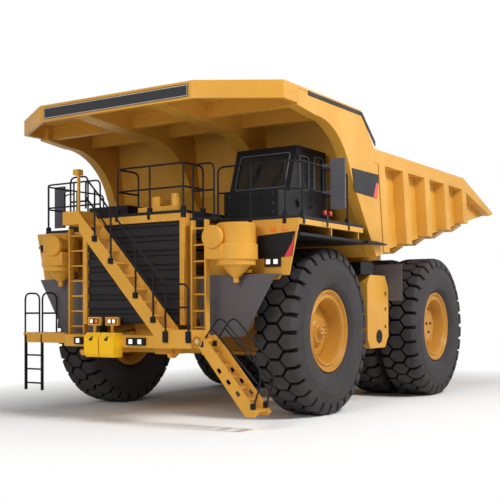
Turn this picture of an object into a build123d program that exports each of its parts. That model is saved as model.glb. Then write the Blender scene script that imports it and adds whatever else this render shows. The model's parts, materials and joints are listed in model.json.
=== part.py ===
"""Mining dump truck: a rigid frame hauler with a canopied dump body.

+X points forward, +Y to the left and +Z up. The origin lies on the ground, halfway
along the truck. Lengths are in millimetres.
"""
import os
from math import cos, hypot, pi, radians, sin, tan

from build123d import *

# Driving dimensions
overall_length = 14040
front_overhang = 3500
wheelbase = 5700
tyre_radius = 1790
tyre_width = 1000
front_tyre_y = 2715
inner_tyre_y = 1790
outer_tyre_y = 2930
running_gap = 0.8
moving_gap = 6
seat_gap = 0.3
bar_sides = 12

# Stations worked out from them
canopy_front_x = overall_length / 2
tail_x = -overall_length / 2
front_axle_x = canopy_front_x - front_overhang
rear_axle_x = front_axle_x - wheelbase

# Tyres: planes stand for the round walls, so that the lugs keep their facets few
lug_count = 36
lug_depth = 85
lug_tip_share = 0.58
lug_root_share = 0.74
round_sides = 16
bead_radius = 735
sidewall_radius = 1240
shoulder_radius = 1610
rim_inset = 107
shoulder_inset = 70
lug_pitch = 2 * pi / lug_count
axle_z = tyre_radius * cos(lug_pitch * lug_tip_share / 2)
front_rim_face = front_tyre_y + tyre_width / 2 - rim_inset

# Rims and hubs
flange_radius = 886
flange_width = 90
rim_wall = 60
dish_depth = 330
dish_radius = 615
front_hub_radius = 360
front_hub_tip_radius = 270
front_nose_radius = 150
front_nose_tip_radius = 128
front_hub_length = 220
spindle_radius = 200
rear_spindle_radius = 200
rear_disc_depth = 150
rear_dish_radius = 645
rear_hub_radius = 560
rear_hub_height = 60
rear_spindle_length = 500
axle_tube_radius = 340
rear_rim_inner = inner_tyre_y - tyre_width / 2 + rim_inset

# Front suspension and steering
kingpin_y = 1850
strut_radius = 190
strut_rod_radius = 150
strut_top_z = 3450
strut_bottom_z = 2420
strut_bore_depth = 420
knuckle_width = 420
arm_length = 560
arm_end_y = 1640
arm_thickness = 90
tie_rod_radius = 50
tie_rod_z = 1245
eye_radius = 95
eye_half_height = 65
arm_low_z = tie_rod_z + eye_half_height + running_gap

# Chassis
rail_inner_y = 500
rail_outer_y = 900
rail_low_z = 1350
rail_front_top_z = 1980
rail_rear_top_z = 2860
rail_rear_low_z = 2450
pivot_behind_axle = 1500
pivot_z = 2900
pivot_pin_radius = 110
pivot_ear = 260
tow_reach = 220
tow_eye_radius = 45
tow_eye_length = 160
pivot_x = rear_axle_x - pivot_behind_axle

# Dump body
bed_wall = 60
body_half_width = 3450
rib_depth = 250
bed_half_width = body_half_width - rib_depth
foot_behind_front_axle = 1670
foot_z = 3440
floor_angle = 10.9
floor_thickness = 110
rail_top_z = 5890
rail_height = 330
kink_to_tail = 2980
lip_length = 410
step_behind_front_axle = 1610
peak_behind_front_axle = 920
canopy_top_z = 6640
canopy_fascia = 350
canopy_plate = 60
canopy_fascia_inset = 30
canopy_side_skirt = 120
canopy_front_skirt = 90
fascia_half_width = 1900
fascia_z = (canopy_top_z - 310, canopy_top_z - 50)
fascia_border = 20
plate_thickness = 14
canopy_front_half = 2000
canopy_corner_back = 970
shoulder_ahead = 2000
shoulder_low_z = canopy_top_z - 390
beam_low_z = canopy_top_z - 310
rib_first_top_behind = 2010
rib_pitch = 1400
rib_lean = 0.13
rib_count = 5
rib_width = 340
rib_root_width = 460
bolster_depth = 200
ear_thickness = 120
pivot_ears_y = moving_gap + ear_thickness + seat_gap

foot_x = front_axle_x - foot_behind_front_axle
step_x = front_axle_x - step_behind_front_axle
peak_x = front_axle_x - peak_behind_front_axle
kink_x = tail_x + kink_to_tail
shoulder_x = front_axle_x + shoulder_ahead
tail_corner_x = tail_x + lip_length

# Hoist cylinders
hoist_y = 1180
hoist_base_ahead = 2200
hoist_base_z = 1250
hoist_eye_ahead = 2400
hoist_eye_z = 3300
barrel_radius = 185
stage_radius = 150
rod_radius = 115
hoist_eye_radius = 165
hoist_pin_radius = 50
hoist_eye_bore = 128

# Nose, hood and decks
nose_ahead = 2870
hood_half_width = 1340
hood_top_z = 4200
walkway_lift = 60
hood_low_z = 1950
frame_bar = 110
grille_half_width = hood_half_width - frame_bar
deck_z = 4100
deck_thickness = 60
deck_front_ahead = 2050
deck_rear_ahead = -980
deck_half_width = 3450
deck_step_y = 1950
deck_corner = 250
edge_band_height = 110
edge_band_depth = 60
frame_depth = 330
fender_z = 3760
fender_rear_ahead = -1350
fender_front_ahead = 2000
fender_low_z = 2930
fender_panel = 40
flap_width = 160
cleaner_radius = 390
cleaner_low_z = 2790
cleaner_top_z = 3960
cap_radius = 225
cap_z = 3670
shield_ahead = 2300
shield_low_z = 1720
shield_plate = 25

# Bumper, stairs and ladders
bumper_front_ahead = 3150
bumper_depth = 420
bumper_half_width = 1750
bumper_top_z = 1740
bumper_low_z = 1490
lamp_depth = 70
bumper_lamp_ys = ((130, 600), (-1290, -1070))
bumper_lamp_z = (1540, 1690)
frame_lamp_ys = (-1070, -590)
frame_lamp_width = 350
frame_lamp_z = (1930, 2110)
fender_plate = ((2540, 3260), (3340, 3290), (3410, 3780), (2550, 3720))
fender_lamp_y = (2750, 3090)
fender_lamp_z = (3100, 3290)
stair_front_ahead = 3420
stair_width = 520
stringer_thickness = 30
stringer_depth = 260
landing_y = (1200, 1900)
landing_z = 1880
stair_head_z = 4290
access_front_ahead = 2600
rung_pitch = 330
ladder_pivot_y = 2030
ladder_pivot_z = 1650
ladder_pin_radius = 35
ladder_steps = 6
ladder_foot_y = 3350
ladder_foot_z = 340
ladder_lobe_radius = 105
ladder_head_lift = 172
ladder_foot_lift = 20
ladder_rail_lifts = (706, 400)
ladder_rail_ends = (0.69, 0.78)
ladder_hole_starts = (0.42, 0.6, 0.78)
ladder_hole_span = 0.07
ladder_hole_lifts = (-87.5, 7.5)
stair_y = (-960, 1230)
stair_treads = 9
stair_rail_lifts = (940, 540)
stair_post_ys = (-510, -80, 560, 1000)
landing_rail_zs = (2300, 2750)
landing_post_ys = (1300, 1850)
clamp_size = 90

# Cab
cab_inner_y = 1300
cab_outer_y = 2780
cab_rear_ahead = -500
cab_front_ahead = 1120
cab_sill_z = 4760
cab_roof_z = 5700
cab_roof_front_ahead = 800
cab_wall = 60
cab_back_x = front_axle_x + cab_rear_ahead
door_x = (front_axle_x + 200, front_axle_x + 780)
door_z = (deck_z + 120, cab_roof_z - 110)
door_frame = 90
window_y = (cab_inner_y + 130, cab_outer_y - 130)
window_z = (cab_sill_z + 40, cab_roof_z - 150)
rear_window_z = (cab_sill_z + 150, cab_roof_z - 200)
right_window_x = (cab_back_x + 250, front_axle_x + cab_roof_front_ahead - 150)
left_window_x = (cab_back_x + 120, cab_back_x + 560)
pane_thickness = 10
hinge_x = door_x[1] + 12
hinge_y = cab_outer_y + 22
hinge_radius = 18
hinge_length = 110
hinge_levels = (deck_z + 300, cab_roof_z - 350)

# Rails
rail_bar = 45
mirror_width = 320
mirror_height = 1020
mirror_level = deck_z + 180
rail_height_above = 1080
rail_end_ahead = -250
post_pitch = 950
rail_inset = 30
gate_height = 1080


def ahead(distance):
    """X of a station a distance ahead of the front axle."""
    return front_axle_x + distance


def block(x, y, z):
    """A block between (low, high) pairs."""
    return Pos((x[0] + x[1]) / 2, (y[0] + y[1]) / 2, (z[0] + z[1]) / 2) * Box(
        x[1] - x[0], y[1] - y[0], z[1] - z[0]
    )


def slab_xz(points, y):
    """An (x, z) outline carried from one y to another."""
    face = Plane.XZ * make_face(Polyline(*points, close=True))
    return Pos(0, y[1], 0) * extrude(face, y[1] - y[0])


def slab_yz(points, x):
    """A (y, z) outline carried from one x to another."""
    face = Plane.YZ * make_face(Polyline(*points, close=True))
    return Pos(x[0], 0, 0) * extrude(face, x[1] - x[0])


def slab_xy(points, z):
    """An (x, y) outline carried from one z to another."""
    face = make_face(Polyline(*points, close=True))
    return Pos(0, 0, z[0]) * extrude(face, z[1] - z[0])


def both_sides(shape):
    """A piece and its mirror image on the other side of the truck."""
    return [shape, mirror(shape, about=Plane.XZ)]


def round_bar(start, end, radius):
    """A cylinder between two points."""
    run = Vector(*end) - Vector(*start)
    return Plane(origin=start, z_dir=run) * extrude(Circle(radius), run.length)


def square_bar(start, end, size=rail_bar):
    """A square tube between two points, its flats upright, with half a width over at each end."""
    run = Vector(*end) - Vector(*start)
    side = Vector(0, 1, 0) if abs(run.X) > abs(run.Y) else Vector(1, 0, 0)
    across = side.cross(run)
    base = Vector(*start) - run.normalized() * (size / 2)
    plane = Plane(origin=base, x_dir=across, z_dir=run)
    return plane * extrude(Rectangle(size, size), run.length + size)


def fuse(pieces):
    """One solid from pieces that meet."""
    first, *rest = pieces
    return first.fuse(*rest).clean() if rest else first


def handrail(points, height=rail_height_above):
    """A two-bar railing along floor points, with posts at the points and evenly between them."""
    bars, stations = [], [points[0]]
    for start, end in zip(points, points[1:]):
        for level in (height, height / 2):
            bars.append(square_bar((*start[:2], start[2] + level), (*end[:2], end[2] + level)))
        posts = max(1, round(hypot(end[0] - start[0], end[1] - start[1]) / post_pitch))
        for step in range(1, posts + 1):
            stations.append(tuple(a + (b - a) * step / posts for a, b in zip(start, end)))
    for x, y, z in stations:
        bars.append(square_bar((x, y, z + rail_bar / 2), (x, y, z + height)))
    return fuse(bars)


def spun(start, direction, stations, sides):
    """A many-sided solid along an axis through (distance, radius) stations, its flats at each radius."""
    axis = Plane(origin=start, z_dir=direction)
    turns = [2 * pi * number / sides for number in range(sides)]
    rings = []
    for distance, radius in stations:
        corner = radius / cos(pi / sides)
        ring = [Vector(corner * cos(a), corner * sin(a), distance) for a in turns]
        rings.append([axis.from_local_coords(point) for point in ring])
    outlines = [rings[0], rings[-1]]
    for low, high in zip(rings, rings[1:]):
        for number in range(sides):
            after = (number + 1) % sides
            outlines.append([low[number], low[after], high[after], high[number]])
    return Solid(Shell([Face(Wire.make_polygon(outline, close=True)) for outline in outlines]))


def prism(start, end, radius, sides=bar_sides):
    """A many-sided bar between two points, its flats at the given radius."""
    run = Vector(*end) - Vector(*start)
    return spun(start, run, [(0, radius), (run.length, radius)], sides)


def pin_bar(start, end, radius, sides=bar_sides):
    """A many-sided pin that stays inside a round bore of its radius."""
    return prism(start, end, radius * cos(pi / sides), sides)


# Tyres and rims
def lug_outline():
    """A gear outline in (x, z): a lug tip and a groove for each pitch."""
    points = []
    root = tyre_radius - lug_depth
    for lug in range(lug_count):
        middle = lug * lug_pitch - pi / 2
        for share, radius in ((-lug_root_share, root), (-lug_tip_share, tyre_radius),
                              (lug_tip_share, tyre_radius), (lug_root_share, root)):
            angle = middle + share * lug_pitch / 2
            points.append((radius * cos(angle), radius * sin(angle)))
    return points


def turned(stations):
    """A many-sided body about the Y axis through (y, radius) stations in rising y."""
    return spun((0, 0, 0), (0, 1, 0), stations, round_sides)


def tyre():
    """One tyre about the origin, its axle along Y, recessed at the beads for the rim's flanges."""
    half = tyre_width / 2
    row_half = half - shoulder_inset
    bead_half = half - rim_inset - flange_width - seat_gap
    tread = slab_xz(lug_outline(), (-row_half, row_half))
    walls = turned([(-half, sidewall_radius), (-row_half, shoulder_radius),
                    (row_half, shoulder_radius), (half, sidewall_radius)])
    cuts = [
        turned([(bead_half, flange_radius), (half, sidewall_radius)]),
        turned([(-half, sidewall_radius), (-bead_half, flange_radius)]),
        turned([(-half, bead_radius), (half, bead_radius)]),
    ]
    body = fuse([tread, walls])
    for cut in cuts:
        body = body - cut
    return body


def make_tyres():
    """Front tyres one by one, rear tyres in pairs."""
    one = tyre()
    front = Pos(front_axle_x, front_tyre_y, axle_z) * one
    twins = [Pos(rear_axle_x, y, axle_z) * one for y in (inner_tyre_y, outer_tyre_y)]
    return {
        "tyre_front_left": front,
        "tyre_front_right": mirror(front, about=Plane.XZ),
        "tyres_rear_left": Compound(twins),
        "tyres_rear_right": mirror(Compound(twins), about=Plane.XZ),
    }


def front_rim():
    """Deep dished front rim with its hub and nose, for the left side."""
    outer, inner = front_rim_face, front_tyre_y - tyre_width / 2 + rim_inset
    floor, seat = outer - dish_depth, bead_radius - seat_gap
    barrel = turned([(inner, flange_radius), (inner + flange_width, seat), (outer - flange_width, seat),
                     (outer, flange_radius)])
    dish = turned([(floor, dish_radius), (outer - flange_width, bead_radius - rim_wall),
                   (outer, flange_radius - rim_wall)])
    hub = turned([(floor - rim_wall, front_hub_radius), (floor, front_hub_radius),
                  (floor + front_hub_length, front_hub_tip_radius)])
    nose = turned([(floor, front_nose_radius), (floor + front_hub_length, front_nose_radius),
                   (outer, front_nose_tip_radius)])
    bore = round_bar((0, inner - 1, 0), (0, floor - rim_wall, 0), spindle_radius + running_gap)
    return Pos(front_axle_x, 0, axle_z) * (fuse([barrel - dish, hub, nose]) - bore)


def rear_rim():
    """Twin rear rims on one hub, for the left side."""
    inner, outer = rear_rim_inner, outer_tyre_y + tyre_width / 2 - rim_inset
    floor, seat = outer - rear_disc_depth, bead_radius - seat_gap
    barrel = turned([(inner, flange_radius), (inner + flange_width, seat), (outer - flange_width, seat),
                     (outer, flange_radius)])
    dish = turned([(floor, rear_dish_radius), (outer - flange_width, bead_radius - rim_wall),
                   (outer, flange_radius - rim_wall)])
    hub = turned([(floor - rim_wall, rear_hub_radius), (floor, rear_hub_radius),
                  (floor + rear_hub_height, rear_hub_radius - rim_wall)])
    bore = round_bar((0, inner - 1, 0), (0, inner + rear_spindle_length + running_gap, 0),
                     rear_spindle_radius + running_gap)
    return Pos(rear_axle_x, 0, axle_z) * (fuse([barrel - dish, hub]) - bore)


# Front suspension and steering
def strut_tower():
    """Left upper strut, bored for its rod, on an arm that reaches out over the chassis rail."""
    half = strut_radius * 0.8
    body = prism((front_axle_x, kingpin_y, strut_bottom_z), (front_axle_x, kingpin_y, strut_top_z),
                 strut_radius)
    bore = prism((front_axle_x, kingpin_y, strut_bottom_z - 1),
                 (front_axle_x, kingpin_y, strut_bottom_z + strut_bore_depth),
                 strut_rod_radius + running_gap)
    arm = slab_yz(
        [(rail_outer_y + seat_gap, rail_low_z + 320), (kingpin_y - strut_radius, strut_bottom_z + 20),
         (kingpin_y, strut_bottom_z + 20), (kingpin_y, strut_top_z - 60),
         (rail_outer_y + seat_gap, strut_top_z - 180)],
        (front_axle_x - half, front_axle_x + half),
    )
    return fuse([body, arm]) - bore


def collar():
    """Arch that stands on the rails and joins the two strut arms over the engine."""
    x = (front_axle_x - strut_radius * 0.8, front_axle_x + strut_radius * 0.8)
    outer, low, top = rail_outer_y, rail_front_top_z + seat_gap, strut_top_z - 180
    inner, roof = outer - 150, top - 220
    return slab_yz(
        [(-outer, low), (-outer, top), (outer, top), (outer, low), (inner, low), (inner, roof),
         (-inner, roof), (-inner, low)],
        x,
    )


def knuckle():
    """Strut rod, spindle and steering arm of the left front wheel."""
    x, y = front_axle_x, kingpin_y
    half = knuckle_width / 2
    rod = round_bar((x, y, axle_z), (x, y, strut_bottom_z + strut_bore_depth - moving_gap), strut_rod_radius)
    yoke = block((x - half, x + half), (y - half, y + half), (axle_z - 330, axle_z + 330))
    spindle_end = front_rim_face - dish_depth - rim_wall - moving_gap
    spindle = pin_bar((x, y, axle_z), (x, spindle_end, axle_z), spindle_radius)
    arm = slab_xy(
        [(x - half + 10, y - half), (x - arm_length - eye_radius, arm_end_y - eye_radius),
         (x - arm_length - eye_radius, arm_end_y + eye_radius), (x - half + 10, y + half)],
        (arm_low_z, arm_low_z + arm_thickness),
    )
    drop = block((x - half, x), (y - half, y + half), (arm_low_z, axle_z))
    return fuse([yoke, rod, spindle, arm, drop])


def tie_rod():
    """Cross bar behind the axle that links the two steering arms from below."""
    x = front_axle_x - arm_length
    rod = prism((x, -arm_end_y, tie_rod_z), (x, arm_end_y, tie_rod_z), tie_rod_radius)
    ends = [
        prism((x, side * arm_end_y, tie_rod_z - eye_half_height),
              (x, side * arm_end_y, tie_rod_z + eye_half_height), eye_radius)
        for side in (-1, 1)
    ]
    return fuse([rod] + ends)


# Chassis
def frame_rail():
    """Left box rail, rising behind the engine to the body pivot, with its hoist bracket and pin."""
    nose = ahead(bumper_front_ahead - bumper_depth)
    rail = slab_xz(
        [(nose, rail_low_z), (ahead(-900), rail_low_z), (ahead(-2500), rail_low_z + 450),
         (rear_axle_x + 900, rail_rear_low_z), (pivot_x - pivot_ear, rail_rear_low_z),
         (pivot_x - pivot_ear, pivot_z + pivot_ear / 2), (pivot_x - pivot_ear / 2, pivot_z + pivot_ear * 0.8),
         (pivot_x + pivot_ear / 2, pivot_z + pivot_ear * 0.8), (pivot_x + 2 * pivot_ear, rail_rear_top_z),
         (ahead(-2600), rail_rear_top_z), (ahead(-1100), rail_front_top_z), (ahead(300), rail_front_top_z),
         (nose, bumper_top_z)],
        (rail_inner_y, rail_outer_y),
    )
    bore = prism((pivot_x, rail_inner_y - 1, pivot_z), (pivot_x, rail_outer_y + 1, pivot_z),
                 pivot_pin_radius + running_gap)
    base_x = rear_axle_x + hoist_base_ahead
    bracket = slab_xz(
        [(base_x - 220, hoist_base_z - 150), (base_x + 220, hoist_base_z - 150),
         (base_x + 500, rail_rear_low_z - 100), (base_x - 500, rail_rear_low_z - 100)],
        (rail_outer_y - 90, rail_outer_y),
    )
    pin = pin_bar((base_x, rail_outer_y - 45, hoist_base_z),
                  (base_x, hoist_y + hoist_eye_radius * 0.7, hoist_base_z), hoist_pin_radius)
    return fuse([rail - bore, bracket, pin])


def cross_members():
    """Box members between the two rails, and the towing eye on the rearmost."""
    inner = (seat_gap - rail_inner_y, rail_inner_y - seat_gap)
    members = [
        block((ahead(x), ahead(x + length)), inner, (low, top))
        for x, length, low, top in (
            (1900, 300, rail_low_z, rail_low_z + 120),
            (-1900, 250, rail_low_z + 280, rail_low_z + 580),
            (-3500, 300, rail_rear_top_z - 500, rail_rear_top_z - 100),
            (-5950, 300, rail_rear_low_z + 20, rail_rear_top_z - 60),
        )
    ]
    members.append(block((pivot_x + 2 * pivot_ear, pivot_x + 3 * pivot_ear), inner,
                         (rail_rear_low_z, rail_rear_top_z - 60)))
    return members + [tow_member(inner)]


def tow_member(inner):
    """Rear cross member with an upright bore for a towing pin."""
    x, z = pivot_x - pivot_ear, rail_rear_low_z
    cross = block((x, x + 160), inner, (z, z + 180))
    lug = block((x - tow_reach, x + 10), (-150, 150), (z + 10, z + 10 + tow_eye_length))
    hole_x = x - tow_reach / 2
    hole = round_bar((hole_x, 0, z), (hole_x, 0, z + 2 * tow_eye_length), tow_eye_radius)
    return fuse([cross, lug]) - hole


def rear_axle():
    """Banjo housing, axle tubes with the wheel spindles, and the arm forward to the chassis."""
    x = rear_axle_x
    tube_end = rear_rim_inner - moving_gap
    spindle_end = rear_rim_inner + rear_spindle_length
    tube = prism((x, -tube_end, axle_z), (x, tube_end, axle_z), axle_tube_radius)
    spindle = pin_bar((x, -spindle_end, axle_z), (x, spindle_end, axle_z), rear_spindle_radius)
    bowl = prism((x, -480, axle_z), (x, 480, axle_z), 580)
    arm = slab_xy([(x + 400, -430), (ahead(-3250), -160), (ahead(-3250), 160), (x + 400, 430)],
                  (axle_z - 170, axle_z + 170))
    post = block((ahead(-3420), ahead(-3250)), (-160, 160), (axle_z - 170, rail_rear_top_z - 500 - seat_gap))
    foot = block((x - 760, x - 200), (rail_inner_y + 60, rail_outer_y - 60), (axle_z - 220, axle_z + 120))
    return fuse([tube, spindle, bowl, arm, post] + both_sides(foot))


def rear_strut():
    """Short left strut from the axle housing up to the chassis rail."""
    x = rear_axle_x - 560
    y = (rail_inner_y + rail_outer_y) / 2
    lower, upper = axle_z + 120 + seat_gap, rail_rear_low_z - seat_gap
    rod = prism((x, y, lower), (x, y, upper), 95)
    can = prism((x, y, lower + 160), (x, y, upper), 140)
    return fuse([rod, can])


def engine():
    """The engine as one closed block, narrow between the rails and wide above them."""
    low, mid, top = rail_low_z + 120 + seat_gap, rail_front_top_z + 60, 3000
    narrow, wide = rail_inner_y - 20, rail_outer_y - 190
    return slab_yz(
        [(-narrow, low), (narrow, low), (narrow, mid), (wide, mid), (wide, top), (-wide, top),
         (-wide, mid), (-narrow, mid)],
        (ahead(-750), ahead(2150)),
    )


def drive_line():
    """Drive shaft and the gearbox ahead of the rear axle."""
    gearbox = block((ahead(-3000), ahead(-2000)), (-rail_inner_y + 60, rail_inner_y - 60),
                    (axle_z + 190, axle_z + 640))
    shaft = prism((ahead(-2000), 0, axle_z + 330), (ahead(-750) - seat_gap, 0, axle_z + 330), 90)
    return fuse([gearbox, shaft])


# Dump body
def floor_z(x):
    """Height of the underside of the sloping floor."""
    return foot_z + (foot_x - x) * tan(radians(floor_angle))


def wall_points():
    """Knee and top, in (x, z), of the outer face of the front wall."""
    return (foot_x + 850, foot_z + 1560), (foot_x + 1150, canopy_top_z - canopy_plate - seat_gap)


def bed_floor():
    """Sloping floor plate, front wall and tail lip as one welded tray."""
    half = bed_half_width - bed_wall - seat_gap
    lift = floor_thickness
    wall_knee, wall_top = wall_points()
    floor = slab_xz(
        [(foot_x, foot_z), (foot_x - 60, foot_z + lift), (tail_x, floor_z(tail_x) + 40),
         (tail_x, floor_z(tail_x)), (tail_corner_x, floor_z(tail_corner_x))],
        (-half, half),
    )
    wall = slab_xz(
        [(foot_x, foot_z), wall_knee, wall_top, (wall_top[0] - floor_thickness, wall_top[1]),
         (wall_knee[0] - floor_thickness, wall_knee[1]), (foot_x - 130, foot_z + lift / 2)],
        (-half, half),
    )
    return fuse([floor, wall])


def side_outline():
    """Outline in (x, z) of a side wall below the canopy."""
    return [
        (foot_x, foot_z), wall_points()[0], wall_points()[1],
        (peak_x, canopy_top_z - canopy_plate - seat_gap), (step_x, rail_top_z), (kink_x, rail_top_z),
        (tail_corner_x, floor_z(tail_corner_x) + 40), (tail_corner_x, floor_z(tail_corner_x)),
    ]


def bed_side():
    """Left side wall of the load space."""
    return slab_xz(side_outline(), (bed_half_width - bed_wall, bed_half_width))


def top_rails():
    """Box rails along the top of the side walls, dropping to the tail."""
    low, tail_z = rail_top_z - rail_height, floor_z(tail_corner_x)
    toe_x = tail_corner_x + 260
    return slab_xz(
        [(step_x, low), (step_x, rail_top_z), (kink_x, rail_top_z), (tail_corner_x, tail_z + 60),
         (tail_corner_x, tail_z), (toe_x, floor_z(toe_x)), (kink_x + 60, low)],
        (bed_half_width + seat_gap, body_half_width),
    )


def rib_x(number, z):
    """Middle of a rib at a height: ribs lean forward towards the top."""
    top = front_axle_x - rib_first_top_behind - number * rib_pitch
    return top - rib_lean * (rail_top_z - rail_height - z)


def side_ribs():
    """Hat section ribs of the left side and the top rail they hold up, as one welded solid."""
    top_z = rail_top_z - rail_height
    base, tip = bed_half_width + seat_gap, body_half_width
    pieces = [top_rails()]
    for number in range(rib_count):
        low_z = floor_z(rib_x(number, foot_z))
        faces = []
        for z in (low_z, top_z + 30):
            x = rib_x(number, z)
            root, crest = rib_root_width / 2, rib_width / 2
            outline = Polyline((x - root, base), (x - crest, tip), (x + crest, tip), (x + root, base),
                               close=True)
            faces.append(Pos(0, 0, z) * make_face(outline))
        pieces.append(loft(faces, ruled=True))
    return fuse(pieces)


def floor_bolsters():
    """Cross bolsters under the floor in line with the ribs, cut to its slope, each in three lengths."""
    half, end_drop = bed_half_width, 260
    above = slab_xz(
        [(foot_x, foot_z - seat_gap), (foot_x, foot_z + 3000), (tail_x, foot_z + 3000),
         (tail_x, floor_z(tail_x) - seat_gap)],
        (-half - 1, half + 1),
    )
    pieces = []
    for number in range(rib_count):
        x = rib_x(number, foot_z)
        z = floor_z(x)
        low = z - bolster_depth
        at_ears = abs(x - pivot_x) < pivot_ear * 4
        clear = pivot_ears_y if at_ears else seat_gap
        inner, outer = rail_inner_y - clear, rail_outer_y + clear
        side = [(outer, low), (half - end_drop, low), (half, z - 40), (half, z + 100), (outer, z + 100)]
        middle = [(-inner, low), (inner, low), (inner, z + 100), (-inner, z + 100)]
        width = (x - rib_width / 2, x + rib_width / 2)
        pieces += both_sides(slab_yz(side, width) - above) + [slab_yz(middle, width) - above]
    return pieces


def body_rail():
    """Left deep rail under the floor that tapers forward, with its pivot ears and pin and hoist ears."""
    low_front = rail_rear_top_z + moving_gap
    inner = (rail_inner_y - moving_gap - ear_thickness, rail_inner_y - moving_gap)
    outer = (rail_outer_y + moving_gap, rail_outer_y + moving_gap + ear_thickness)
    front_x = foot_x - 260
    rail_end = pivot_x + 2.4 * pivot_ear
    rail = slab_xz(
        [(front_x, floor_z(front_x) - seat_gap), (rear_axle_x - 900, floor_z(rear_axle_x - 900) - seat_gap),
         (rail_end, rail_rear_top_z + 420), (rail_end, low_front), (front_x - 600, low_front)],
        (rail_inner_y, rail_outer_y),
    )
    ear_outline = [
        (pivot_x - 200, floor_z(pivot_x - 200) - seat_gap), (pivot_x - 200, pivot_z - 150),
        (pivot_x - 120, pivot_z - 200), (pivot_x + 120, pivot_z - 200), (pivot_x + 320, rail_rear_top_z + 60),
        (rail_end + 200, rail_rear_top_z + 60), (rail_end + 200, floor_z(rail_end + 200) - seat_gap),
    ]
    ears = [slab_xz(ear_outline, y) for y in (inner, outer)]
    pin = round_bar((pivot_x, inner[0], pivot_z), (pivot_x, outer[1], pivot_z), pivot_pin_radius)
    web = block((rail_end + 20, rail_end + 180), (inner[0], outer[1]),
                (rail_rear_top_z + 100, rail_rear_top_z + 700))
    return fuse([rail, pin, web] + ears + hoist_ears())


def hoist_ears():
    """Two ears and a pin under the body that take the head of the left hoist."""
    x, z = rear_axle_x + hoist_eye_ahead, hoist_eye_z
    half = hoist_eye_radius * 0.75
    top, reach, thickness = floor_z(x), 200, 50
    outline = [(x - reach, floor_z(x - reach) - seat_gap), (x - 150, z - 130), (x + 150, z - 130),
               (x + reach, floor_z(x + reach) - seat_gap)]
    ears = [
        slab_xz(outline, (hoist_y - half - moving_gap - thickness, hoist_y - half - moving_gap)),
        slab_xz(outline, (hoist_y + half + moving_gap, hoist_y + half + moving_gap + thickness)),
    ]
    outer = half + moving_gap + thickness
    pin = pin_bar((x, hoist_y - outer, z), (x, hoist_y + outer, z), hoist_pin_radius)
    link = block((x - 120, x + 120), (rail_outer_y - 20, hoist_y - outer + 5), (top - 420, top - 120))
    return ears + [pin, link]


def canopy_outline(rear_x, half, drawn_in):
    """Plan of the canopy in (x, y): chamfered front corners, its front edges drawn in."""
    front_x, front_half = canopy_front_x - drawn_in, canopy_front_half - drawn_in / 3
    corner_x = canopy_front_x - canopy_corner_back - drawn_in / 3
    return [(rear_x, -half), (corner_x, -half), (front_x, -front_half), (front_x, front_half),
            (corner_x, half), (rear_x, half)]


def canopy():
    """Canopy plate with its front fascia, chamfered corners and edge channels."""
    half, top, low = body_half_width, canopy_top_z, canopy_top_z - canopy_fascia
    outline = canopy_outline(peak_x, half, 0)
    plate = slab_xy(outline, (top - canopy_plate, top))
    inset = canopy_outline(peak_x - 1, half - canopy_side_skirt, canopy_front_skirt)
    skirt = slab_xy(outline, (low, top - canopy_plate)) - slab_xy(inset, (low - 1, top))
    recess = block((canopy_front_x - canopy_fascia_inset - seat_gap, canopy_front_x + 1),
                   (-fascia_half_width, fascia_half_width), fascia_z)
    gusset_end = shoulder_x + seat_gap
    keep = skirt - block((peak_x - 10, gusset_end), (-half - 1, half + 1), (low - 1, top - canopy_plate))
    return fuse([plate, keep]) - recess


def beam_outline():
    """Top height and the three points of the arc that sweeps from the canopy to the front wall."""
    top = canopy_top_z - canopy_plate - seat_gap
    arc_start, arc_mid, arc_end = (ahead(1200), 6170), (ahead(120), 5830), (ahead(-420), 5080)
    return top, arc_start, arc_mid, arc_end


def sweep_beam(y, front_x, low_front_z):
    """A box beam under the canopy with a swept lower edge, between two y values."""
    top, start, mid, end = beam_outline()
    knee, wall_top = wall_points()
    foot = (foot_x + 40, foot_z + 60)
    path = [
        Line((front_x, top), (front_x, low_front_z)),
        Line((front_x, low_front_z), start),
        ThreePointArc(start, mid, end),
        Line(end, foot),
        Line(foot, (knee[0] + seat_gap, knee[1])),
        Line((knee[0] + seat_gap, knee[1]), (wall_top[0] + seat_gap, top)),
        Line((wall_top[0] + seat_gap, top), (front_x, top)),
    ]
    face = Plane.XZ * make_face(Wire(path))
    return Pos(0, y[1], 0) * extrude(face, y[1] - y[0])


def canopy_beams():
    """Inner swept beams and the cross beams between them, as one welded frame."""
    top = canopy_top_z - canopy_plate - seat_gap
    inner_y, width = 1000, 400
    front = canopy_front_x - canopy_front_skirt - seat_gap
    beams = [
        sweep_beam((side * inner_y - width / 2, side * inner_y + width / 2), front, beam_low_z)
        for side in (-1, 1)
    ]
    crosses = [
        block((ahead(x), ahead(x + 160)), (10 - bed_half_width, bed_half_width - 10), (top - 300, top))
        for x in (300, 1700)
    ]
    return fuse(beams + crosses)


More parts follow.
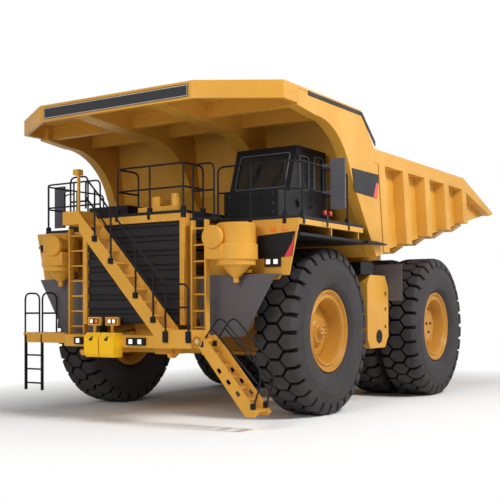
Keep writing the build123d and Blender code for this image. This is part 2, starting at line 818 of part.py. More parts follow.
def side_gussets():
    """Outer swept boxes that close the body's shoulders from canopy to floor."""
    top = canopy_top_z - canopy_plate - seat_gap
    _, start, mid, end = beam_outline()
    foot = (foot_x, foot_z)
    head_z = rail_top_z - rail_height - seat_gap
    rib_front = rib_root_width / 2 + 1
    rib_head = (rib_x(0, head_z) + rib_front, head_z)
    rib_foot_x = rib_x(0, foot_z) + rib_front + 20
    rib_foot = (rib_foot_x, floor_z(rib_foot_x))
    path = [
        Line((shoulder_x, top), (shoulder_x, shoulder_low_z)),
        Line((shoulder_x, shoulder_low_z), start),
        ThreePointArc(start, mid, end),
        Line(end, foot),
        Line(foot, rib_foot),
        Line(rib_foot, rib_head),
        Line(rib_head, (step_x + seat_gap, rib_head[1])),
        Line((step_x + seat_gap, rib_head[1]), (step_x + seat_gap, rail_top_z)),
        Line((step_x + seat_gap, rail_top_z), (peak_x, top)),
        Line((peak_x, top), (shoulder_x, top)),
    ]
    face = Plane.XZ * make_face(Wire(path))
    box = Pos(0, body_half_width, 0) * extrude(face, body_half_width - bed_half_width - seat_gap)
    return Compound(both_sides(box))


def body_plates():
    """Blank black plates on the shoulders and the fascia, and the strips along the canopy's edges."""
    outer = (body_half_width + seat_gap, body_half_width + plate_thickness)
    side = slab_xz(
        [(ahead(-410), 5300), (ahead(-1790), 5310), (ahead(-1790), 5110), (ahead(-1700), 4770),
         (ahead(-550), 4800)],
        outer,
    )
    front, top, width = ahead(1560), canopy_top_z - 40, 80
    strip = slab_xz(
        [(front, top), (peak_x - 10, top), (step_x - 20, rail_top_z + 160), (step_x - 20, rail_top_z + 40),
         (peak_x, top - width), (front, top - width)],
        outer,
    )
    face, edge = canopy_front_x - canopy_fascia_inset, fascia_half_width - fascia_border
    fascia = block((face, face + canopy_fascia_inset), (-edge, edge),
                   (fascia_z[0] + fascia_border, fascia_z[1] - fascia_border))
    return both_sides(side) + both_sides(strip) + [fascia]


# Hoists
def hoist_parts():
    """Barrel, middle stage and rod of the left hoist, along the line between its pins."""
    base = Vector(rear_axle_x + hoist_base_ahead, hoist_y, hoist_base_z)
    eye = Vector(rear_axle_x + hoist_eye_ahead, hoist_y, hoist_eye_z)
    line = eye - base
    up = line.normalized()
    length = line.length

    def along(distance):
        return base + up * distance

    half = hoist_eye_radius * 0.75
    barrel_low, barrel_top = hoist_eye_radius * 0.6, length - 320
    stage_low, stage_top = hoist_eye_radius + 66, length - 260

    def eye_block(centre, radius):
        return prism((centre.X, hoist_y - half, centre.Z), (centre.X, hoist_y + half, centre.Z), radius)

    barrel = fuse([prism(tuple(along(barrel_low)), tuple(along(barrel_top)), barrel_radius),
                   eye_block(base, hoist_eye_radius)])
    barrel -= prism(tuple(along(stage_low - moving_gap)), tuple(along(barrel_top + 1)),
                    stage_radius + running_gap)
    barrel -= round_bar((base.X, hoist_y - half - 1, base.Z), (base.X, hoist_y + half + 1, base.Z),
                        hoist_pin_radius + running_gap)
    stage = prism(tuple(along(stage_low)), tuple(along(stage_top)), stage_radius)
    stage -= prism(tuple(along(stage_low + 60)), tuple(along(stage_top + 1)), rod_radius + running_gap)
    rod = fuse([prism(tuple(along(stage_low + 60 + moving_gap)), tuple(along(length)), rod_radius),
                eye_block(eye, hoist_eye_radius)])
    rod -= prism((eye.X, hoist_y - half - 1, eye.Z), (eye.X, hoist_y + half + 1, eye.Z), hoist_eye_bore)
    return barrel, stage, rod


# Nose, hood and decks
def radiator_frame():
    """Yellow surround of the radiator: two posts and a top beam round the grille."""
    x = (ahead(nose_ahead - frame_depth), ahead(nose_ahead))
    half, top, low, bar = hood_half_width, hood_top_z, hood_low_z, frame_bar
    outer = slab_yz([(-half, low), (-half, top), (half, top), (half, low)], x)
    hole = block((x[0] - 1, x[1] + 1), (bar - half, half - bar), (low - 1, top - 150))
    return outer - hole


def hood_gear():
    """Flat box, reservoir and filler pot on the walkway over the radiator."""
    floor, back = hood_top_z + walkway_lift + seat_gap, ahead(nose_ahead) - 300
    tray = block((back, back + 220), (110, 1120), (floor, floor + 110))
    reservoir = block((back + 30, back + 190), (420, 650), (floor + 105, floor + 320))
    pot = prism((back + 110, 1000, floor + 100), (back + 110, 1000, floor + 360), 85, 8)
    return fuse([tray, reservoir, pot])


def radiator_grille():
    """Dark radiator face with wide and narrow slats."""
    half = grille_half_width - seat_gap
    back = (ahead(nose_ahead - 300), ahead(nose_ahead - 90))
    low, top = hood_low_z + 20, hood_top_z - 150 - seat_gap
    pieces = [block(back, (-half, half), (low, top))]
    slats = 7
    pitch = (top - low) / slats
    for number in range(slats):
        z = low + number * pitch
        pieces.append(block((back[1] - 5, back[1] + 50), (-half, half), (z + 25, z + pitch * 0.62)))
        pieces.append(block((back[1] - 5, back[1] + 30), (-half, half), (z + pitch * 0.72, z + pitch * 0.93)))
    return fuse(pieces)


def upper_deck():
    """Deck plates from side to side, stepped back beside the radiator for the two ladders."""
    front, rear, half = ahead(deck_front_ahead), ahead(deck_rear_ahead), deck_half_width
    nose, ladder_back = ahead(nose_ahead) - frame_depth - seat_gap, ahead(nose_ahead) - 210
    side = [(nose, hood_half_width), (ladder_back, hood_half_width), (ladder_back, deck_step_y),
            (front, deck_step_y), (front, half - deck_corner), (front - deck_corner, half), (rear, half)]
    return slab_xy(side + [(x, -y) for x, y in side[::-1]], (deck_z - deck_thickness, deck_z))


def hood_top():
    """Raised black walkway on the hood, over the radiator frame."""
    half = hood_half_width
    back, front = ahead(deck_front_ahead - 900), ahead(nose_ahead)
    edge = front - frame_depth - seat_gap
    body = block((back, edge), (-half, half), (deck_z - 10, hood_top_z + walkway_lift))
    lip = block((edge - 5, front), (-half, half), (hood_top_z + seat_gap, hood_top_z + walkway_lift))
    return fuse([body, lip])


def fender():
    """Fender of the left side: front panel, edge band under the deck, and webs down to the slab."""
    half, under = deck_half_width, deck_z - deck_thickness - seat_gap
    front, rear = ahead(fender_front_ahead), ahead(deck_rear_ahead)
    inner = hood_half_width + seat_gap
    panel = slab_yz(
        [(inner, fender_low_z - 80), (3030, fender_low_z - 80), (3080, fender_low_z),
         (half - 190, fender_low_z), (half + 60, under), (inner, under)],
        (front, front + fender_panel),
    )
    band_outline = [(front + 10, half - deck_corner + 40), (front - deck_corner + 50, half), (rear, half)]
    inset = [(rear, half - edge_band_depth), (front - deck_corner + 20, half - edge_band_depth),
             (front + 10, half - deck_corner - 40)]
    band = slab_xy(band_outline + inset, (under - edge_band_height, under))
    webs = [
        block((ahead(x), ahead(x + 40)), (rail_outer_y + 100, half - 20), (fender_z + seat_gap, under))
        for x in (-800, 500)
    ]
    return fuse([panel, band] + webs)


def fender_slab():
    """Black guard over the left tyre under the fender's webs, with a flap beside the dump body."""
    half = deck_half_width
    front, rear = ahead(fender_front_ahead) - seat_gap, ahead(fender_rear_ahead)
    guard = block((rear, front), (rail_outer_y + 100, half + flap_width / 3), (fender_z - 60, fender_z))
    flap = slab_xz(
        [(rear + 450, fender_z - 60), (rear + 450, fender_z), (rear, fender_z), (rear - 550, fender_z - 30),
         (rear - 550, fender_z - 60), (rear, fender_z - 60)],
        (half + 2 * moving_gap, half + flap_width),
    )
    return fuse([guard, flap])


def splash_shield():
    """Grey shield of the left side under the fender panel, ahead of the tyre."""
    x, low, top = ahead(shield_ahead), shield_low_z, fender_low_z
    inner, outer = hood_half_width + seat_gap, deck_half_width - 330
    plate = slab_yz([(inner, low), (2400, low), (outer, top), (inner, top)], (x, x + shield_plate))
    back = ahead(fender_front_ahead) + fender_panel + seat_gap
    ledge = block((back, x + shield_plate), (inner, outer), (top, top + shield_plate))
    return fuse([plate, ledge])


def air_cleaner():
    """Left air cleaner: upright drum, clamp band with its box, dust cone and the round inlet cap."""
    back = ahead(fender_front_ahead) + fender_panel + seat_gap
    x, y, sides = back + cleaner_radius + 65, 2330, 12
    spout_z, ring_z, band_z = cleaner_low_z, cleaner_low_z + 330, cleaner_low_z + 440
    body = spun(
        (x, y, spout_z), (0, 0, 1),
        [(0, 60), (110, 60), (110, 95), (330, cleaner_radius - 90), (330, cleaner_radius),
         (440, cleaner_radius), (440, cleaner_radius + 40), (750, cleaner_radius + 40),
         (750, cleaner_radius), (cleaner_top_z - spout_z, cleaner_radius)],
        sides,
    )
    cap = spun((x, y - 230, cap_z), (1, 0, 0),
               [(0, cap_radius - 50), (430, cap_radius - 50), (430, cap_radius), (540, cap_radius)], sides)
    latch = block((x, x + cleaner_radius + 60), (y - cleaner_radius - 60, y - 40),
                  (band_z + 10, band_z + 300))
    bracket = block((back, x), (y - 180, y + 180), (ring_z + 420, ring_z + 540))
    return fuse([body, cap, latch, bracket])


# Bumper and ways up
def bumper():
    """Front bumper beam with its end returns, two bent guard blocks and tow hooks."""
    front, low, top = ahead(bumper_front_ahead), bumper_low_z, bumper_top_z
    half, depth = bumper_half_width, bumper_depth
    beam = slab_xy(
        [(front - depth, -half), (front - 140, -half), (front, -half + 150), (front, half - 150),
         (front - 140, half), (front - depth, half)],
        (low, top),
    )
    guards = [
        slab_xz(
            [(front - 5, low - 200), (front + 230, low - 200), (front + 290, low - 130),
             (front + 290, top - 40), (front + 200, top + 50), (front - 5, top + 50)],
            (y - 190, y + 190),
        )
        for y in (-620, -210)
    ]
    hooks = [
        slab_xz(
            [(front - 300, low + 5), (front - 300, low - 120), (front - 180, low - 190),
             (front - 60, low - 190), (front - 10, low - 100), (front - 60, low - 60),
             (front - 110, low - 110), (front - 170, low - 90), (front - 190, low + 5)],
            (y - 50, y + 50),
        )
        for y in (-1150, 1150)
    ]
    return fuse([beam] + guards + hooks)


def stair_flight(low, high, front_x):
    """A stair across the truck: two deep stringers and level treads, from (y, z) to (y, z)."""
    (y0, z0), (y1, z1) = low, high
    run = hypot(y1 - y0, z1 - z0)
    lift = stringer_depth * run / abs(y1 - y0)
    outline = [(y0, z0), (y1, z1), (y1, z1 - lift), (y0, z0 - lift)]
    faces = (front_x, front_x - stair_width + stringer_thickness)
    pieces = [slab_yz(outline, (x - stringer_thickness, x)) for x in faces]
    for number in range(stair_treads):
        share = (number + 0.5) / stair_treads
        y, z = y0 + (y1 - y0) * share, z0 + (z1 - z0) * share - lift * 0.35
        pieces.append(block((front_x - stair_width + 5, front_x - 5), (y - 90, y + 90), (z - 20, z + 20)))
    return fuse(pieces)


def ladder_planes():
    """Front faces of the two stringers of the folding ladder."""
    front = ahead(stair_front_ahead) - 20
    return front, front - stair_width + 60


def ladder_hinge():
    """Ears on the landing and the pin, with its round cap, that carry the folding ladder."""
    front, rear = ladder_planes()
    y, z = ladder_pivot_y, ladder_pivot_z
    back = rear - stringer_thickness
    ears = [
        block(x, (landing_y[1] - 5, y + 45), (z - 45, z + 45))
        for x in ((front - stringer_thickness - moving_gap - 30, front - stringer_thickness - moving_gap),
                  (rear + moving_gap, rear + moving_gap + 30))
    ]
    pin = pin_bar((back - 10, y, z), (front + moving_gap + 15, y, z), ladder_pin_radius)
    cap = prism((front + moving_gap, y, z), (front + moving_gap + 15, y, z), 110)
    return ears + [pin, cap]


def cross_stair():
    """Stair from the bumper landing up across the radiator to the right deck, with the landing."""
    front, back = ahead(stair_front_ahead), ahead(stair_front_ahead) - stair_width
    bumper_face, over_bumper = ahead(bumper_front_ahead) + seat_gap, bumper_top_z + seat_gap
    flight = stair_flight((stair_y[1], landing_z), (stair_y[0], stair_head_z), front)
    flight = flight - block((back - 1, bumper_face), (-2000, 2000), (0, over_bumper))
    top = block((back, front), landing_y, (over_bumper, landing_z - 20))
    face = block((bumper_face, front), landing_y, (bumper_low_z + 20, landing_z - 20))
    rear_ear = block((back, back + 90), (bumper_half_width + seat_gap, landing_y[1]),
                     (ladder_pivot_z - 60, bumper_top_z + 10))
    head_y = (stair_y[0] - 460, stair_y[0] + 5)
    head = block((ahead(nose_ahead) + seat_gap, front), head_y, (hood_top_z - 150, stair_head_z + 40))
    return fuse([flight, top, face, head, rear_ear, horn_pole(front)] + ladder_hinge())


def horn_pole(front):
    """Pole with a horn on top, at the head of the stair."""
    y, low, high = stair_y[0] - 60, stair_head_z, stair_head_z + 800
    pole = block((front - 90, front - 40), (y - 25, y + 25), (low, high))
    horn = block((front - 140, front + 20), (y - 90, y + 60), (high - 5, high + 110))
    return fuse([pole, horn])


def stair_rise(y, lift):
    """Height of a line parallel to the cross stair, lifted over its stringer."""
    slope = (stair_head_z - landing_z) / (stair_y[1] - stair_y[0])
    return landing_z + (stair_y[1] - y) * slope + lift


def rail_clamp(x, y, z):
    """Clamp block that holds a railing post on a stringer's face."""
    return block((x, x + 70), (y - clamp_size / 2, y + clamp_size / 2), z)


def stair_rails():
    """Handrail clamped along the front of the cross stair, with the railing of its landing."""
    face = ahead(stair_front_ahead) + seat_gap
    x = face + rail_bar / 2
    first, last = stair_y[0] + 210, landing_post_ys[0]
    pieces = []
    for lift, level in zip(stair_rail_lifts[::-1], landing_rail_zs):
        pieces.append(square_bar((x, first, stair_rise(first, lift)), (x, last, level)))
        pieces.append(square_bar((x, last, level), (x, landing_post_ys[1], level)))
    for y in stair_post_ys:
        foot = stair_rise(y, -60)
        pieces.append(square_bar((x, y, foot), (x, y, stair_rise(y, stair_rail_lifts[0] - 20))))
        pieces.append(rail_clamp(face, y, (foot - 60, foot + 60)))
    for y in landing_post_ys:
        pieces.append(square_bar((x, y, bumper_top_z), (x, y, landing_rail_zs[1])))
        pieces.append(rail_clamp(face, y, (landing_z - 260, landing_z - 40)))
    return fuse(pieces)


def ladder_point(share, lift):
    """(y, z) of a point a share of the way down the folding ladder, lifted square to its slope."""
    dy, dz = ladder_foot_y - ladder_pivot_y, ladder_foot_z - ladder_pivot_z
    run = hypot(dy, dz)
    return ladder_pivot_y + dy * share - dz / run * lift, ladder_pivot_z + dz * share + dy / run * lift


def access_ladder():
    """Folding lower stair hinged beside the landing: two pierced stringers and their treads."""
    front, rear = ladder_planes()
    y0, z0 = ladder_pivot_y, ladder_pivot_z
    toe_z = ladder_foot_z - 60
    outline = [(y0, z0), (y0 + 20, z0 + ladder_lobe_radius), ladder_point(0, ladder_head_lift),
               ladder_point(1, ladder_foot_lift), (ladder_foot_y - 60, toe_z), (ladder_foot_y - 260, toe_z),
               (y0 + 60, z0 - 160), (y0, z0 - ladder_lobe_radius)]
    bore = round_bar((rear - 200, y0, z0), (front + 200, y0, z0), ladder_pin_radius + running_gap)
    low, high = ladder_hole_lifts
    holes = []
    for share in ladder_hole_starts:
        end = share + ladder_hole_span
        corners = [ladder_point(share, low), ladder_point(end, low), ladder_point(end, high),
                   ladder_point(share, high)]
        holes.append(slab_yz(corners, (rear - 200, front + 1)))
    pieces = []
    for x in (front, rear):
        lobe = prism((x - stringer_thickness, y0, z0), (x, y0, z0), ladder_lobe_radius)
        stringer = fuse([slab_yz(outline, (x - stringer_thickness, x)), lobe]) - bore
        for hole in holes:
            stringer = stringer - hole
        pieces.append(stringer)
    for number in range(ladder_steps):
        y, z = ladder_point((number + 1) / (ladder_steps + 0.4), -10)
        pieces.append(block((rear - 5, front - stringer_thickness + 5), (y - 120, y + 40), (z - 45, z - 10)))
    return fuse(pieces)


def ladder_rails():
    """Handrails of the folding ladder, one standing on each stringer."""
    front, rear = ladder_planes()
    high, low = ladder_rail_lifts
    rails = []
    for face in (front, rear):
        x = face - stringer_thickness / 2

        def bar(start, end):
            return square_bar((x, *start), (x, *end), stringer_thickness)

        top_end, low_end = ladder_point(ladder_rail_ends[0], high), ladder_point(ladder_rail_ends[1], low)
        heel, toe = ladder_point(0.04, 0), ladder_point(0.92, 0)
        bars = [bar(ladder_point(0, high), top_end), bar(ladder_point(0.02, low), low_end),
                bar(heel, ladder_point(0, high)), bar(low_end, top_end), bar(toe, low_end)]
        edge = [ladder_point(-0.1, ladder_head_lift + 0.1 * (ladder_head_lift - ladder_foot_lift) + seat_gap),
                ladder_point(1.1, ladder_foot_lift - 0.1 * (ladder_head_lift - ladder_foot_lift) + seat_gap),
                ladder_point(1.1, -400), ladder_point(-0.1, -400)]
        rails.append(fuse(bars) - slab_yz(edge, (face - 100, face + 100)))
    return rails


def ladder_gate(x, y):
    """Hoop rail across the head of an upright ladder."""
    z = deck_z + rail_bar / 2
    low, high = y
    return fuse([
        square_bar((x, low, z), (x, low, z + gate_height)),
        square_bar((x, high, z), (x, high, z + gate_height)),
        square_bar((x, low, z + gate_height), (x, high, z + gate_height)),
        square_bar((x, low, z + gate_height / 2), (x, high, z + gate_height / 2)),
    ])


def straight_ladder(y, x, low, high, width, depth=140):
    """An upright ladder that faces forward: two side rails and rungs."""
    pieces = [
        block((x - depth, x), (y + side * width / 2 - 20, y + side * width / 2 + 20), (low, high))
        for side in (-1, 1)
    ]
    rungs, middle = round((high - low) / rung_pitch), x - depth / 2
    for number in range(rungs):
        z = low + (number + 0.5) * (high - low) / rungs
        pieces.append(block((middle - 20, middle + 20), (y - width / 2, y + width / 2), (z - 18, z + 18)))
    return fuse(pieces)


def service_ladders():
    """Upright ladders on both sides of the radiator."""
    x = ahead(nose_ahead) - 60
    left = straight_ladder(1640, x, bumper_top_z + seat_gap, deck_z - deck_thickness, 330)
    right = straight_ladder(-1590, x, bumper_top_z + seat_gap, deck_z - deck_thickness, 420)
    return [left, right]


def right_access():
    """Low platform, hanging ladder and hoop rails at the right front corner."""
    x = ahead(access_front_ahead)
    inner = -bumper_half_width - seat_gap
    platform = block((x - 220, x + 300), (-3100, inner - 100), (1700, 1760))
    beam = block((x + 160, x + 300), (-3000, inner), (1540, 1705))
    ladder = straight_ladder(-2800, x + 300, 480, 1720, 500, 60)
    hoops = [handrail([(x - 180, y, 1740), (x + 270, y, 1740)], 900) for y in (-3070, -2540)]
    return [fuse([platform, beam, ladder] + hoops)]


# Lamps and plates
def fixed_lamps():
    """Black plates and lamp boxes on the fenders, and the lamp boxes on the bumper."""
    fender_face = ahead(fender_front_ahead) + fender_panel + seat_gap
    plate = slab_yz(fender_plate, (fender_face, fender_face + plate_thickness))
    lamp = block((fender_face, fender_face + lamp_depth), fender_lamp_y, fender_lamp_z)
    bumper_face = ahead(bumper_front_ahead) + seat_gap
    boxes = [block((bumper_face, bumper_face + lamp_depth), y, bumper_lamp_z) for y in bumper_lamp_ys]
    return both_sides(fuse([plate, lamp])) + boxes


def framed_lamps():
    """Lamp pairs in frames that stand on the bumper, ahead of the grille's foot."""
    back, low = ahead(bumper_front_ahead) - 200, frame_lamp_z[0]
    return [
        fuse([block((back, back + lamp_depth), (y, y + frame_lamp_width), frame_lamp_z),
              block((back + 20, back + 60), (y + 140, y + 210), (bumper_top_z - 5, low + 5))])
        for y in frame_lamp_ys
    ]


# Cab
def cab_outline(inset=0):
    """Side outline of the cab in (x, z), drawn in by an inset."""
    rear, front = cab_back_x + inset, ahead(cab_front_ahead) - inset
    roof_front, low, top = ahead(cab_roof_front_ahead) - inset, deck_z + 40 + inset, cab_roof_z - inset
    return [(rear, low), (front, low), (front, cab_sill_z), (roof_front, top), (rear, top)]


def cab_shell():
    """Hollow cab with its window and door openings cut."""
    y, front = (cab_inner_y, cab_outer_y), ahead(cab_front_ahead)
    right_wall, left_wall = (y[0] - 50, y[0] + 100), (y[1] - 100, y[1] + 50)
    shell = slab_xz(cab_outline(), y) - slab_xz(cab_outline(cab_wall), (y[0] + cab_wall, y[1] - cab_wall))
    cuts = [
        block((ahead(cab_roof_front_ahead) - 60, front + 100), window_y, window_z),
        block((cab_back_x - 50, cab_back_x + 100), window_y, rear_window_z),
        block(right_window_x, right_wall, window_z),
        block(left_window_x, left_wall, window_z),
        block(door_x, left_wall, door_z),
    ]
    for cut in cuts:
        shell = shell - cut
    feet = block((cab_back_x + 100, front - 100), (y[0] + 100, y[1] - 100), (deck_z + seat_gap, deck_z + 45))
    return fuse([shell, feet] + door_hinge_pins())


def door_window():
    """Spans in x and z of the window in the door."""
    x = (door_x[0] + moving_gap + door_frame, door_x[1] - running_gap - door_frame)
    return x, (cab_sill_z + 20, door_z[1] - moving_gap - door_frame)


def cab_door():
    """Door of the cab with its window cut and a hinge edge at the front."""
    y, edge = (cab_outer_y - cab_wall, cab_outer_y), door_x[1] - running_gap
    leaf = block((door_x[0] + moving_gap, edge), y, (door_z[0] + moving_gap, door_z[1] - moving_gap))
    window_x, window_span = door_window()
    window = block(window_x, (y[0] - 1, y[1] + 1), window_span)
    knuckles = []
    for level in hinge_levels:
        top = level + hinge_length
        knuckles += [
            round_bar((hinge_x, hinge_y, level), (hinge_x, hinge_y, top), hinge_radius),
            block((edge - 60, edge), (y[1] - 10, hinge_y), (level + 10, top - 10)),
            block((edge - 60, hinge_x), (hinge_y - 16, hinge_y), (level + 10, top - 10)),
        ]
    return fuse([leaf - window] + knuckles)


def door_hinge_pins():
    """Fixed pins of the door's hinges, each on a pad of the cab's wall above its knuckle."""
    pins = []
    for level in hinge_levels:
        top = level + hinge_length + running_gap
        pins.append(block((door_x[1] + 2, hinge_x + 70), (cab_outer_y - 10, hinge_y + hinge_radius),
                          (top, top + 40)))
    return pins


def within(span):
    """A (low, high) span less the seat gap at both ends."""
    return span[0] + seat_gap, span[1] - seat_gap


def cab_glass():
    """Fixed panes of the cab, one solid each."""
    middle = cab_wall / 2
    slope = (cab_front_ahead - cab_roof_front_ahead) / (cab_roof_z - cab_sill_z)
    z0, z1 = within(window_z)
    x0, x1 = (ahead(cab_front_ahead) - (z - cab_sill_z) * slope - 40 for z in (z0, z1))
    rear_x = cab_back_x + middle
    right_y, left_y = cab_inner_y + middle, cab_outer_y - middle
    return Compound([
        slab_xz([(x0, z0), (x0 + pane_thickness, z0), (x1 + pane_thickness, z1), (x1, z1)], within(window_y)),
        block((rear_x, rear_x + pane_thickness), within(window_y), within(rear_window_z)),
        block(within(right_window_x), (right_y, right_y + pane_thickness), (z0, z1)),
        block(within(left_window_x), (left_y - pane_thickness, left_y), (z0, z1)),
    ])


def door_glass():
    """Pane of the cab door."""
    x, z = door_window()
    middle = cab_outer_y - cab_wall / 2
    return block(within(x), (middle - pane_thickness / 2, middle + pane_thickness / 2), within(z))


def cab_front_box():
    """Black equipment box on the deck ahead of the cab."""
    return block((ahead(cab_front_ahead) + seat_gap, ahead(1620)), (1480, 2790),
                 (deck_z + seat_gap, cab_sill_z - 60))


def seat():
    """Operator seat: pedestal, cushion and backrest."""
    x, y, floor = ahead(150), (cab_inner_y + cab_outer_y) / 2, deck_z + 40 + cab_wall
    base = block((x - 180, x + 180), (y - 180, y + 180), (floor + seat_gap, floor + 380))
    cushion = block((x - 260, x + 280), (y - 260, y + 260), (floor + 375, floor + 500))
    low, high = floor + 450, floor + 1150
    back = slab_xz([(x - 260, low), (x - 150, low), (x - 260, high), (x - 360, high)], (y - 250, y + 250))
    return fuse([base, cushion, back])


def dash():
    """Dashboard and steering column with its wheel."""
    y, floor = (cab_inner_y + cab_outer_y) / 2, deck_z + 40 + cab_wall
    x, top = ahead(cab_front_ahead) - cab_wall - seat_gap, cab_sill_z - 20
    panel = slab_xz(
        [(x, floor + seat_gap), (x, top), (x - 160, top), (x - 260, top - 160), (x - 160, floor + seat_gap)],
        (cab_inner_y + cab_wall + seat_gap, cab_outer_y - cab_wall - moving_gap - seat_gap),
    )
    hub = Vector(x - 420, y, cab_sill_z - 60)
    column = prism((x - 200, y, cab_sill_z - 220), tuple(hub), 45, 8)
    tilt = Vector(-220, 0, 160).normalized()
    wheel = Plane(origin=hub, z_dir=tilt) * extrude(RegularPolygon(230, 12) - RegularPolygon(195, 12), 35)
    spoke = Plane(origin=hub, x_dir=(0, 1, 0), z_dir=tilt) * extrude(Rectangle(400, 50), 30)
    return fuse([panel, column, wheel, spoke])


# Deck rails, tanks and small gear
def ladder_gates():
    """Hoop rails at the heads of the two service ladders."""
    x = ahead(nose_ahead) - 235
    return [ladder_gate(x, (1400, 1910)), ladder_gate(x, (-1910, -1400))]


def front_rails():
    """Railing on three sides of the walkway over the radiator."""
    x, z, side = ahead(nose_ahead) - 40, hood_top_z + walkway_lift, hood_half_width - 40
    right = 900 - side
    return handrail([(x - 700, right, z), (x, right, z), (x, side, z), (x - 700, side, z)], 950)


def left_rails():
    """Railing along the front and the outer side of the left deck."""
    z, side, front = deck_z, deck_half_width - rail_inset, ahead(deck_front_ahead) - 40
    return handrail([(front, hood_half_width + 250, z), (front, side - deck_corner, z),
                     (front - deck_corner, side, z), (ahead(rail_end_ahead), side, z)])


def mirrors():
    """Left mirror head on two arms from the outer rail."""
    x, start = ahead(950), deck_half_width - rail_inset + rail_bar / 2 + seat_gap
    inner = deck_half_width + 190
    arms = [
        block((x - 20, x + 20), (start, inner + 60), (deck_z + level - 20, deck_z + level + 20))
        for level in (rail_height_above, rail_height_above / 2)
    ]
    head = block((x - 30, x + 30), (inner, inner + mirror_width),
                 (mirror_level, mirror_level + mirror_height))
    return fuse(arms + [head])


def right_cabinet():
    """Equipment cabinet on the right deck."""
    return block((ahead(-400), ahead(900)), (-2900, -1700), (deck_z + seat_gap, deck_z + 620))


def fuel_tank():
    """Fuel tank on the left of the chassis between the wheels, with its two brackets."""
    inner = rail_outer_y + 480
    tank = slab_xz(
        [(ahead(-2200), 1330), (ahead(-3050), 1330), (ahead(-3250), 1600), (ahead(-3250), 2750),
         (ahead(-3050), 3050), (ahead(-2200), 3050), (ahead(-2050), 2850), (ahead(-2050), 1550)],
        (inner, 3050),
    )
    tank -= slab_xy(
        [(ahead(-2260), inner - 1), (ahead(-2260), 2200), (ahead(-2030), 2820), (ahead(-2030), inner - 1)],
        (1300, 3100),
    )
    brackets = [
        block((ahead(x), ahead(x + 160)), (rail_outer_y + seat_gap, inner + 5), (2050, 2450))
        for x in (-3050, -2550)
    ]
    return fuse([tank] + brackets)


def tank_box():
    """Black box on top of the tank, reaching forward."""
    return block((ahead(-2400), ahead(-1690)), (2700, 3050), (3050 + seat_gap, 3335))


def tank_guard():
    """Grey plate behind the tank, ahead of the rear tyres."""
    back = ahead(-3250) - seat_gap
    return block((back - shield_plate, back), (1400, 3400), (2450, 3330))


# All pieces
def make_pieces():
    """Every piece of the truck by name."""
    barrel, stage, rod = hoist_parts()
    rim, twin, steer = front_rim(), rear_rim(), knuckle()
    pieces = make_tyres()
    pieces.update({
        "rim_front_left": rim,
        "rim_front_right": mirror(rim, about=Plane.XZ),
        "rims_rear_left": twin,
        "rims_rear_right": mirror(twin, about=Plane.XZ),
        "knuckle_left": steer,
        "knuckle_right": mirror(steer, about=Plane.XZ),
        "tie_rod": tie_rod(),
        "main_frame": Compound(both_sides(frame_rail())),
        "frame_members": Compound(cross_members() + both_sides(strut_tower()) + [collar()]),
        "rear_axle": Compound([rear_axle()] + both_sides(rear_strut())),
        "engine_block": engine(),
        "drive_line": drive_line(),
        "bed_tray": bed_floor(),
        "bed_sides": Compound(both_sides(bed_side()) + both_sides(side_ribs())),
        "bed_rails": Compound(both_sides(body_rail())),
        "bed_bolsters": Compound(floor_bolsters()),
        "bed_shoulders": side_gussets(),
        "canopy": canopy(),
        "canopy_beams": canopy_beams(),
        "body_plates": Compound(body_plates()),
        "hoist_barrels": Compound(both_sides(barrel)),
        "hoist_stages": Compound(both_sides(stage)),
        "hoist_rods": Compound(both_sides(rod)),
        "radiator_frame": Compound([radiator_frame(), hood_gear()]),
        "radiator_grille": radiator_grille(),
        "upper_deck": Compound([fuse([upper_deck(), hood_top()])] + both_sides(fender_slab())),
        "fenders": Compound(both_sides(fender())),
        "splash_shields": Compound(both_sides(splash_shield()) + [tank_guard()]),
        "air_cleaners": Compound(both_sides(air_cleaner())),
        "front_bumper": fuse([bumper()] + framed_lamps()),
        "cross_stair": cross_stair(),
        "access_ladder": access_ladder(),
        "ladder_rails": Compound(ladder_rails()),
        "lamp_boxes": Compound(fixed_lamps()),
        "side_ladders": Compound(service_ladders() + right_access()),
        "cab_shell": cab_shell(),
        "cab_door": cab_door(),
        "cab_glass": cab_glass(),
        "door_glass": door_glass(),
        "operator_seat": seat(),
        "cab_dash": dash(),
        "deck_rails": Compound([front_rails(), stair_rails()] + both_sides(left_rails()) + ladder_gates()),
        "mirrors": Compound(both_sides(mirrors())),
        "deck_boxes": Compound([right_cabinet(), cab_front_box(), tank_box()]),
        "fuel_tank": fuel_tank(),
    })
    return pieces


def main():
    os.makedirs("parts", exist_ok=True)
    for name, shape in make_pieces().items():
        export_step(shape, f"parts/{name}.step")


if __name__ == "__main__":
    main()
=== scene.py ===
"""Looks of a mining dump truck: paint, rubber, glass, tread, bolts and handrails around its frame."""

import json
from math import cos, pi, radians, sin

import bmesh
import bpy
from mathutils import Matrix, Vector


